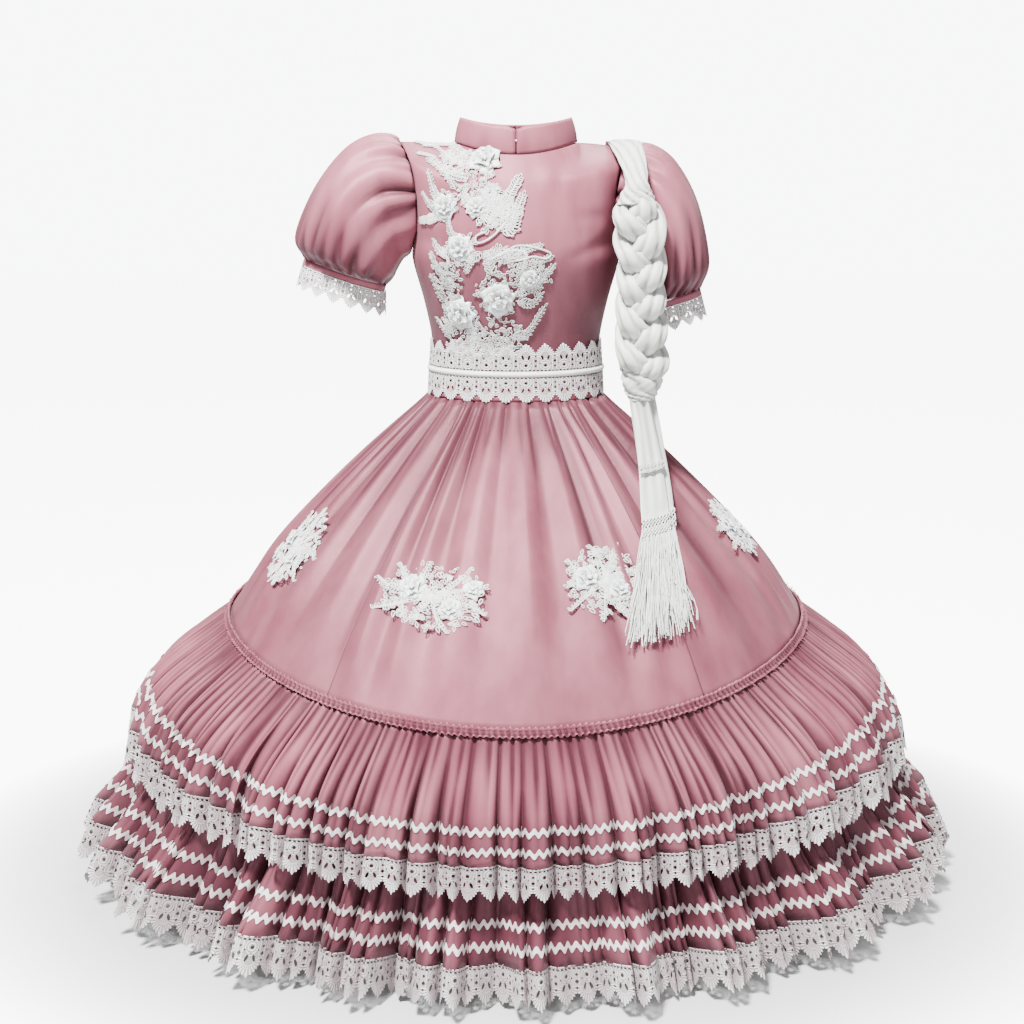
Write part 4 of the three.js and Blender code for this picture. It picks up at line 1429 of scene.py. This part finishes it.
# Sprays from stem to tip: (u, v) corners, leaf length.
for corners, long in (
    ([(-0.3, 0.9), (-0.5, 0.915), (-0.64, 0.955), (-0.74, 0.955)], 7),
    ([(-0.3, 0.93), (-0.5, 0.97), (-0.7, 0.965), (-0.84, 0.985)], 8),
    ([(-0.36, 0.89), (-0.52, 0.875), (-0.66, 0.91), (-0.8, 0.915)], 7),
    ([(-0.34, 0.86), (-0.5, 0.87), (-0.7, 0.9)], 8),
    ([(-0.46, 0.8), (-0.5, 0.84), (-0.56, 0.9)], 7),
    ([(-0.6, 0.74), (-0.68, 0.79), (-0.72, 0.86)], 8),
    ([(-0.56, 0.7), (-0.7, 0.72), (-0.82, 0.77)], 8),
    ([(-0.6, 0.69), (-0.7, 0.67), (-0.86, 0.665)], 10),
    ([(-0.12, 0.66), (-0.06, 0.76), (0.02, 0.87)], 13),
    ([(-0.1, 0.62), (-0.0, 0.7), (0.05, 0.78)], 12),
    ([(-0.1, 0.6), (-0.02, 0.62), (0.02, 0.7)], 12),
    ([(-0.2, 0.62), (-0.17, 0.7), (-0.14, 0.82)], 10),
    ([(-0.36, 0.55), (-0.46, 0.6), (-0.52, 0.66)], 8),
    ([(-0.42, 0.45), (-0.5, 0.5), (-0.6, 0.56)], 8),
    ([(-0.42, 0.3), (-0.52, 0.38), (-0.56, 0.47)], 9),
    ([(-0.44, 0.22), (-0.56, 0.28), (-0.6, 0.34)], 9),
    ([(-0.46, 0.18), (-0.58, 0.17), (-0.66, 0.2)], 9),
    ([(-0.06, 0.42), (0.02, 0.5), (0.14, 0.53)], 10),
    ([(-0.02, 0.38), (0.1, 0.42), (0.2, 0.46)], 9),
    ([(0.0, 0.3), (0.12, 0.32), (0.22, 0.4)], 9),
    ([(0.0, 0.27), (0.1, 0.26), (0.16, 0.29)], 9),
    ([(-0.02, 0.16), (0.08, 0.17), (0.19, 0.25)], 9),
    ([(-0.2, 0.5), (-0.26, 0.45), (-0.3, 0.38)], 9),
    ([(-0.14, 0.36), (-0.16, 0.44), (-0.12, 0.52)], 10),
    ([(-0.3, 0.2), (-0.34, 0.14), (-0.32, 0.1)], 9),
):
    chest.spray(corners, long)
for corners in (
    [(-0.2, 0.6), (-0.26, 0.58), (-0.24, 0.545), (-0.18, 0.56), (-0.12, 0.6), (-0.06, 0.66), (-0.05, 0.74)],
    [(-0.1, 0.47), (0.0, 0.53), (0.12, 0.52), (0.2, 0.49), (0.17, 0.455), (0.1, 0.47), (0.04, 0.45)],
    [(-0.14, 0.45), (-0.06, 0.5), (0.04, 0.5), (0.06, 0.46), (0.0, 0.44)],
):
    chest.cord(corners, 1.4, 1.4)
# Ovals of small loops: u, v, half width, half height, count.
for u, v, wide, tall, count in (
    (-0.26, 0.91, 36, 16, 110),
    (-0.46, 0.9, 32, 14, 90),
    (-0.28, 0.78, 36, 26, 170),
    (-0.14, 0.74, 22, 28, 90),
    (-0.58, 0.73, 30, 20, 110),
    (-0.18, 0.66, 24, 20, 80),
    (-0.36, 0.5, 30, 28, 140),
    (-0.46, 0.34, 26, 28, 130),
    (-0.42, 0.18, 42, 30, 170),
    (-0.06, 0.47, 34, 18, 110),
    (-0.1, 0.3, 38, 26, 130),
    (0.1, 0.36, 28, 22, 100),
    (-0.12, 0.15, 44, 22, 150),
    (-0.3, 0.11, 66, 14, 120),
):
    chest.ground(u, v, wide, tall, count)
for u, v, size, petals in (
    (-0.19, 0.93, 29, 6),
    (-0.56, 0.72, 22, 8),
    (-0.29, 0.72, 18, 8),
    (-0.35, 0.515, 25, 8),
    (-0.11, 0.275, 31, 7),
    (-0.4, 0.225, 29, 8),
    (0.08, 0.345, 18, 7),
):
    chest.flower(u, v, size, petals)
chest.done()

# Skirt patches: name, centre turn, centre v, lift, node.
for name, s0, v0, lift, node in (
    ("hip_flowers_right", -0.186, 0.645, 4.4, "skirt_applique_right"),
    ("hip_flowers_front_right", -0.052, 0.64, 4.2, "skirt_applique_front_right"),
    ("hip_flowers_front_left", 0.058, 0.6, 4.0, "skirt_applique_front_left"),
    ("hip_flowers_left", 0.212, 0.6, 3.8, "skirt_applique_left"),
):
    patch = Applique(name, plain_skirt, lift, (2200, 520), [node])
    wide, tall = {"hip_flowers_front_right": (88, 56), "hip_flowers_right": (66, 78)}.get(name, (64, 60))
    for i in range(9):
        turn = TURN * i / 9 + 0.5 + draw.uniform(-0.2, 0.2)
        reach = draw.uniform(0.85, 1.1)
        tip = (s0 + reach * wide * math.cos(turn) / 2200, v0 + reach * tall * math.sin(turn) / 520)
        bend = draw.uniform(-0.12, 0.12)
        middle = (mix(s0, tip[0], 0.6) + bend * wide / 2200, mix(v0, tip[1], 0.6) - bend * tall / 520)
        patch.spray([(s0, v0), middle, tip], 10)
    patch.ground(s0, v0, 0.85 * wide, 0.85 * tall, 260, 9.5)
    patch.flower(s0 - 0.36 * wide / 2200, v0 - 0.015, 25, 7)
    patch.flower(s0 + 0.3 * wide / 2200, v0 + 0.03, 20, 7)
    if wide > 70:
        patch.flower(s0 + 0.62 * wide / 2200, v0 - 0.03, 17, 6)
    patch.done()

# ---- sash ----

# Rows down the strap and the wrap: x, y, z, half width, half thickness.
STRAP = [
    [163, 36, 337, 22, 0.5],
    [165, 0, 347, 23, 3.2],
    [169, -50, 335, 21, 4.5],
    [175, -94, 308, 17, 7],
    [178, -114, 284, 15, 10],
    [178, -117, 270, 21, 13],
    [178, -118, 254, 26, 16],
]
BRAID_LINE = [[178, -116, 262], [184, -120, 170], [186, -118, 90], [191, -118, 0]]
BRAID_WIDE, BRAID_DEEP, BRAID_PLAITS = 23.0, 15.0, 1.75
WRAP = [
    [191, -118, 10, 27, 15],
    [191, -118, -8, 28, 16.5],
    [191.5, -118, -24, 23, 13],
    [192, -118.5, -37, 17, 9],
]


def rolled(path, pleats, depth):
    """A roll of cloth with lengthwise folds along path(t): x, y, z, half width and half thickness."""

    def pleated(q, t):
        turn = TURN * q
        sharp = np.abs(np.sin(0.5 * pleats * turn + 2.2 * t * pleats + 1.3 * np.sin(7 * t))) ** 0.6
        return sharp, np.abs(np.sin(pleats * turn - 9 * t + np.sin(5 * t))) ** 0.7

    def surface(q, t):
        rows = path(t)
        e = 1e-3
        run = unit(path(np.minimum(t + e, 1))[..., :3] - path(np.maximum(t - e, 0))[..., :3])
        deep = unit(np.cross(run, [1.0, 0, 0]))
        flat = unit(np.cross(deep, run))
        turn = TURN * q
        sharp, fine = pleated(q, t)
        k = 1 + depth * (2.2 * sharp - 1.2) + 0.5 * depth * (fine - 0.6)
        return (
            rows[..., :3]
            + flat * (rows[..., 3] * np.cos(turn) * k)[..., None]
            + deep * (rows[..., 4] * np.sin(turn) * k)[..., None]
        )

    # Painted shade in the valleys between the pleats.
    surface.hollow = lambda q, t: 1.1 * (1 - pleated(q, t)[0]) ** 1.3 + 0.35 * (1 - pleated(q, t)[1])
    return surface


def path_hub(path):
    """The nearest point of the path to each point, so that outward is away from it."""
    line = path(np.linspace(0, 1, 200))[:, :3]

    def hub(p):
        p = np.atleast_2d(p)
        return line[np.argmin(np.linalg.norm(p[:, None] - line[None], axis=-1), axis=1)]

    return hub


def strand_path(k):
    def path(t):
        q = TURN * (BRAID_PLAITS * t + k / 3 + 0.02 * np.sin(17 * t + 2 * k))
        x, y, z = np.moveaxis(along(BRAID_LINE, t), -1, 0)
        spread = rise(-0.03, 0.09, t) * (1 - rise(0.93, 1.02, t))
        plump = (1 + 0.14 * np.cos(2 * q) + 0.08 * np.sin(11 * t + 2 * k)) * (0.72 + 0.28 * spread)
        wide = BRAID_WIDE * (1 + 0.08 * np.sin(8 * t + 1))
        over = BRAID_DEEP * spread * np.sin(2 * q)
        return vec(x + wide * spread * np.sin(q), y + over, z, 17 * plump, 11.5 * plump)

    return path


# Each roll's path, pleats, depth of its pleats and rows.
rolls = {
    "sash_strap": (lambda t: along(STRAP, t), 7, 0.14, 60),
    "sash_wrap": (lambda t: along(WRAP, t), 5, 0.14, 24),
}
for k in range(3):
    rolls[f"sash_strand_{k + 1}"] = (strand_path(k), 5, 0.15, 76)
for node, (path, pleats, depth, rows) in rolls.items():
    roll = rolled(path, pleats, depth)
    piece = cloth(f"{node}_cloth", sash_satin, roll, 44, rows, ring=True, hub=path_hub(path), wall=1.2)
    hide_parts(node)

SASH_X = 204.0


def lay(x, v, lift):
    row = along(SKIRT, v)
    angle = np.arcsin(np.clip(x / row[..., 0], -1, 1))
    out = unit(vec(np.sin(angle), -np.cos(angle), 0.9 + 0 * angle))
    return level(row, angle) + out * (lift + 0 * angle)[..., None]


# Rows down a tail: share lying on the yoke, place down the yoke, half width.
def tail(shift, lift, wide, stop, folds):
    rows = [[0, 0.3, 14], [0.75, 0.35, wide * 0.85], [1, 0.42, wide], [1, stop, wide]]
    start = np.array([192 + shift, -106 - lift, -34.7])

    def surface(s, v):
        landing, down, w = np.moveaxis(along(rows, v), -1, 0)
        pinched = folds * np.exp(-v / 0.3)
        ripple = pinched * np.sin(9 * s + 2 * v + shift) + 1.2 * np.sin(9 * v + 3 * s + shift) * (1 - v)
        lying = lay(SASH_X + shift + s * w, down, lift + ripple)
        free = start + vec(s * w, -2.5 * np.cos(6 * s + shift), 0 * s)
        return mix(free, lying, landing[..., None])

    # Painted shade in the ripples near the top of the tail.
    surface.hollow = lambda s, v: 0.5 * np.exp(-v / 0.5) * (1 - np.sin(9 * s + 2 * v + shift)) - 0.1
    return surface


sash_hub = lambda p: p + [0, 50, -50]
for where, shift, lift, wide, stop in (("front", -5, 15.5, 21, 0.462), ("back", 6, 10.5, 22, 0.452)):
    end = tail(shift, lift, wide, stop, 3.2)
    piece = cloth(f"sash_end_{where}", sash_satin, end, 36, 60, (-1, 1), hub=sash_hub, wall=1.2)
    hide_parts(f"sash_tail_{where}")

turn_up = tail(-5, 18.5, 21.5, 0.462, 3.2)
TURN_END = 0.38  # where the turned-up end of the front tail stops, down the tail
cloth("sash_turn", sash_satin, turn_up, 30, 20, (-1, 1), (0, TURN_END), hub=sash_hub, wall=1.4)


def net(thread, pairs, band):
    """Crossed and knotted threads on band(across, down)."""
    t = np.linspace(0, 1, 7)
    for i in range(pairs):
        for turn in (1, -1):
            x = np.clip(mix(-1, 1, (i + 0.5) / pairs) + turn * 0.26 * np.cos(TURN * t), -1, 1)
            thread(band(x, t) + [0, -0.9 * turn, 0] * np.sin(TURN * t)[:, None], 1.2)


def fringe(where, shift, lift, wide, top, strands):
    """Fine strands that hang from a knotted band and spread as they fall."""
    bm = bmesh.new()

    def thread(p, radius):
        bm.from_mesh(round_cord(p, radius, 0))

    for i in range(strands):
        across = mix(-1, 1, (i + 0.5) / strands) + draw.uniform(-0.02, 0.02)
        long = 0.757 + 0.05 * draw.uniform(-1, 1)
        t = np.linspace(0, 1, 12)
        stray = 14 * t * (i % 24 == 23) + 6 * np.sin(9 * t) * (i % 24 == 23)
        sway = draw.uniform(-8, 8) * t * t + 2.4 * np.sin(6 * t + draw.uniform(0, TURN)) + stray
        x = SASH_X + shift - 4 * t + across * mix(wide - 1.5, 1.95 * wide, t) + sway
        off = lift + draw.uniform(-4.5, 3) * np.minimum(1, 3 * t) + 1.2 * np.sin(5 * t + i)
        thread(lay(x, mix(top + 0.02, long, t), off), 0.72)
    net(thread, 8, lambda x, w: lay(SASH_X + shift + x * wide, top - 0.006 + 0.05 * w, lift + 2.2))
    if where == "front":
        net(thread, 7, lambda x, w: turn_up(x, TURN_END - 0.012 + 0.05 * w) + [0, -1.6, 1.2])
    mesh = bpy.data.meshes.new(f"sash_threads_{where}")
    bm.to_mesh(mesh)
    bm.free()
    piece = new_piece(f"sash_threads_{where}", mesh, sash_satin)
    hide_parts(f"sash_fringe_{where}")


fringe("front", -5, 14.6, 21, 0.4636, 180)
fringe("back", 6, 9.6, 22, 0.4536, 110)

# ---- every piece rides on the dress ----

for piece in list(bpy.context.scene.objects):
    if piece.type == "MESH" and "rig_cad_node" not in piece and "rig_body" not in piece:
        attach(piece, "root")
        name = piece.name
        if "edging" in name:
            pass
        elif name.startswith("sash"):
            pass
        elif name.startswith("ricrac") or name == "waist_cord":
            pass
        else:
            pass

# Cut pieces: width, length and area of the cut in metres, how it is held, what it hangs from or lies on,
# and the trims sewn on it.
CUTS = {
    "bodice_front_panel": (0.42, 0.36, 0.138, "hung", ["waistband"], ["chest"]),
    "bodice_back": (0.21, 0.36, 0.07, "hung", ["waistband"], []),
    "collar": (0.245, 0.038, 0.0088, "folded", ["bodice_front"], []),
    "waistband": (0.77, 0.043, 0.033, "laid", ["bodice_front"], ["waist_cord"]),
    "waist_edging": (0.78, 0.047, 0.026, "laid", ["waistband"], []),
    "puff": (0.5, 0.3, 0.105, "gathered", ["bodice_front"], []),
    "cuff_band": (0.37, 0.0115, 0.0041, "folded", ["bodice_front"], []),
    "cuff_edging": (0.38, 0.039, 0.011, "hung", ["bodice_front"], []),
    "gore_front": (0.66, 0.5, 0.21, "gathered", ["waistband"], ["hip_flowers_front"]),
    "gore_left": (0.58, 0.5, 0.175, "gathered", ["waistband"], ["hip_flowers_left"]),
    "gore_right": (0.58, 0.5, 0.175, "gathered", ["waistband"], ["hip_flowers_right"]),
    "gore_back": (0.64, 0.49, 0.205, "gathered", ["waistband"], []),
    "ruching": (2.2, 0.015, 0.0285, "gathered", ["skirt_front"], []),
    "upper_ruffle_front": (1.8, 0.21, 0.25, "gathered", ["skirt_front"], ["ricrac_upper"]),
    "upper_ruffle": (1.8, 0.21, 0.25, "gathered", ["skirt_front"], []),
    "lower_ruffle_front": (2.05, 0.37, 0.51, "gathered", ["skirt_front"], ["ricrac_lower"]),
    "lower_ruffle": (2.05, 0.37, 0.51, "gathered", ["skirt_front"], []),
    "upper_edging": (1.78, 0.053, 0.07, "hung", ["upper_flounce_front"], []),
    "lower_edging": (2.05, 0.053, 0.09, "hung", ["lower_flounce_front"], []),
    "sash_strap": (0.11, 0.25, 0.027, "folded", ["bodice_front"], []),
    "sash_strand": (0.12, 0.38, 0.043, "folded", ["sash_strap"], []),
    "sash_wrap": (0.12, 0.07, 0.0075, "folded", ["sash_strand_1"], []),
    "sash_end_front": (0.045, 0.21, 0.0088, "hung", ["skirt_front"], ["sash_threads_front"]),
    "sash_end_back": (0.045, 0.21, 0.009, "hung", ["skirt_front"], ["sash_threads_back"]),
    "sash_turn": (0.045, 0.1, 0.0043, "folded", ["skirt_front"], []),
}
made = [o for o in bpy.context.scene.objects if o.type == "MESH" and "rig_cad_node" not in o]
for piece in made:
    cut = next((CUTS[key] for key in CUTS if piece.name.startswith(key)), None)
    if cut:
        wide, long, area, held, on, trims = cut

# ---- floor and light ----

FLOOR_Z = -1.182
FLOOR_GLOW, ROOM_LIGHT, BACKDROP_LIGHT = 8.0, 0.32, 9.0
SHADE_X, SHADE_Y = 0.75, 0.54  # half width and half depth of the soft shade under the hem

bm = bmesh.new()
bmesh.ops.create_grid(bm, x_segments=1, y_segments=1, size=14)
mesh = bpy.data.meshes.new("floor")
bm.to_mesh(mesh)
bm.free()
mesh.transform(Matrix.Translation((0, 0, FLOOR_Z)))
floor_look = bpy.data.materials.new("pale floor")
floor_look.use_nodes = True
floor_shader = floor_look.node_tree.nodes["Principled BSDF"]
floor_shader.inputs["Base Color"].default_value = (0.5, 0.5, 0.51, 1)
floor_shader.inputs["Roughness"].default_value = 0.8
floor_tree = floor_look.node_tree
# Painted shadow: the floor's glow for camera rays fades under and round the dress.
spot = add_node(floor_tree, "ShaderNodeTexCoord").outputs["Object"]
spread = add_node(floor_tree, "ShaderNodeMapping", {"Scale": (1 / SHADE_X, 1 / SHADE_Y, 0)}, {"Vector": spot})
reach = add_node(floor_tree, "ShaderNodeVectorMath", {}, {0: spread.outputs[0]}, operation="LENGTH")
open_floor = add_node(
    floor_tree,
    "ShaderNodeMapRange",
    {"From Min": 0.9, "From Max": 1.4, "To Min": 0.22},
    {"Value": reach.outputs["Value"]},
)
soft_edge = add_node(floor_tree, "ShaderNodeMath", {1: 3.0}, {0: open_floor.outputs[0]}, operation="POWER")
seen = add_node(floor_tree, "ShaderNodeLightPath")
lit = add_node(
    floor_tree,
    "ShaderNodeMath",
    {},
    {0: seen.outputs["Is Camera Ray"], 1: soft_edge.outputs[0]},
    operation="MULTIPLY",
)
glow = add_node(floor_tree, "ShaderNodeMath", {1: FLOOR_GLOW}, {0: lit.outputs[0]}, operation="MULTIPLY")
floor_shader.inputs["Emission Color"].default_value = (1, 1, 1, 1)
floor_tree.links.new(glow.outputs[0], floor_shader.inputs["Emission Strength"])
floor = new_piece("floor", mesh, floor_look)

# Lights: name, place, aim, width, power.
for name, place, aim, width, power in (
    ("key", (-1.1, -2.1, 3.5), (0, -0.1, -0.5), 0.7, 1350),
    ("fill", (2.6, -2.6, 1.0), (0, 0, -0.5), 2.0, 42),
    ("back", (0.4, 1.6, 2.6), (0, 0, -0.5), 1.6, 150),
):
    lamp_data = bpy.data.lights.new(name, "AREA")
    lamp_data.size = width
    lamp_data.energy = power
    lamp = bpy.data.objects.new(name, lamp_data)
    lamp.location = place
    lamp.rotation_euler = (Vector(aim) - Vector(place)).to_track_quat("-Z", "Y").to_euler()
    bpy.context.scene.collection.objects.link(lamp)
world = bpy.data.worlds.new("studio")
world.use_nodes = True
backdrop = world.node_tree.nodes["Background"]
backdrop.inputs["Color"].default_value = (0.95, 0.96, 1.0, 1)
seen = add_node(world.node_tree, "ShaderNodeLightPath")
strength = add_node(
    world.node_tree,
    "ShaderNodeMapRange",
    {"To Min": ROOM_LIGHT, "To Max": BACKDROP_LIGHT},
    {"Value": seen.outputs["Is Camera Ray"]},
)
world.node_tree.links.new(strength.outputs[0], backdrop.inputs["Strength"])
bpy.context.scene.world = world
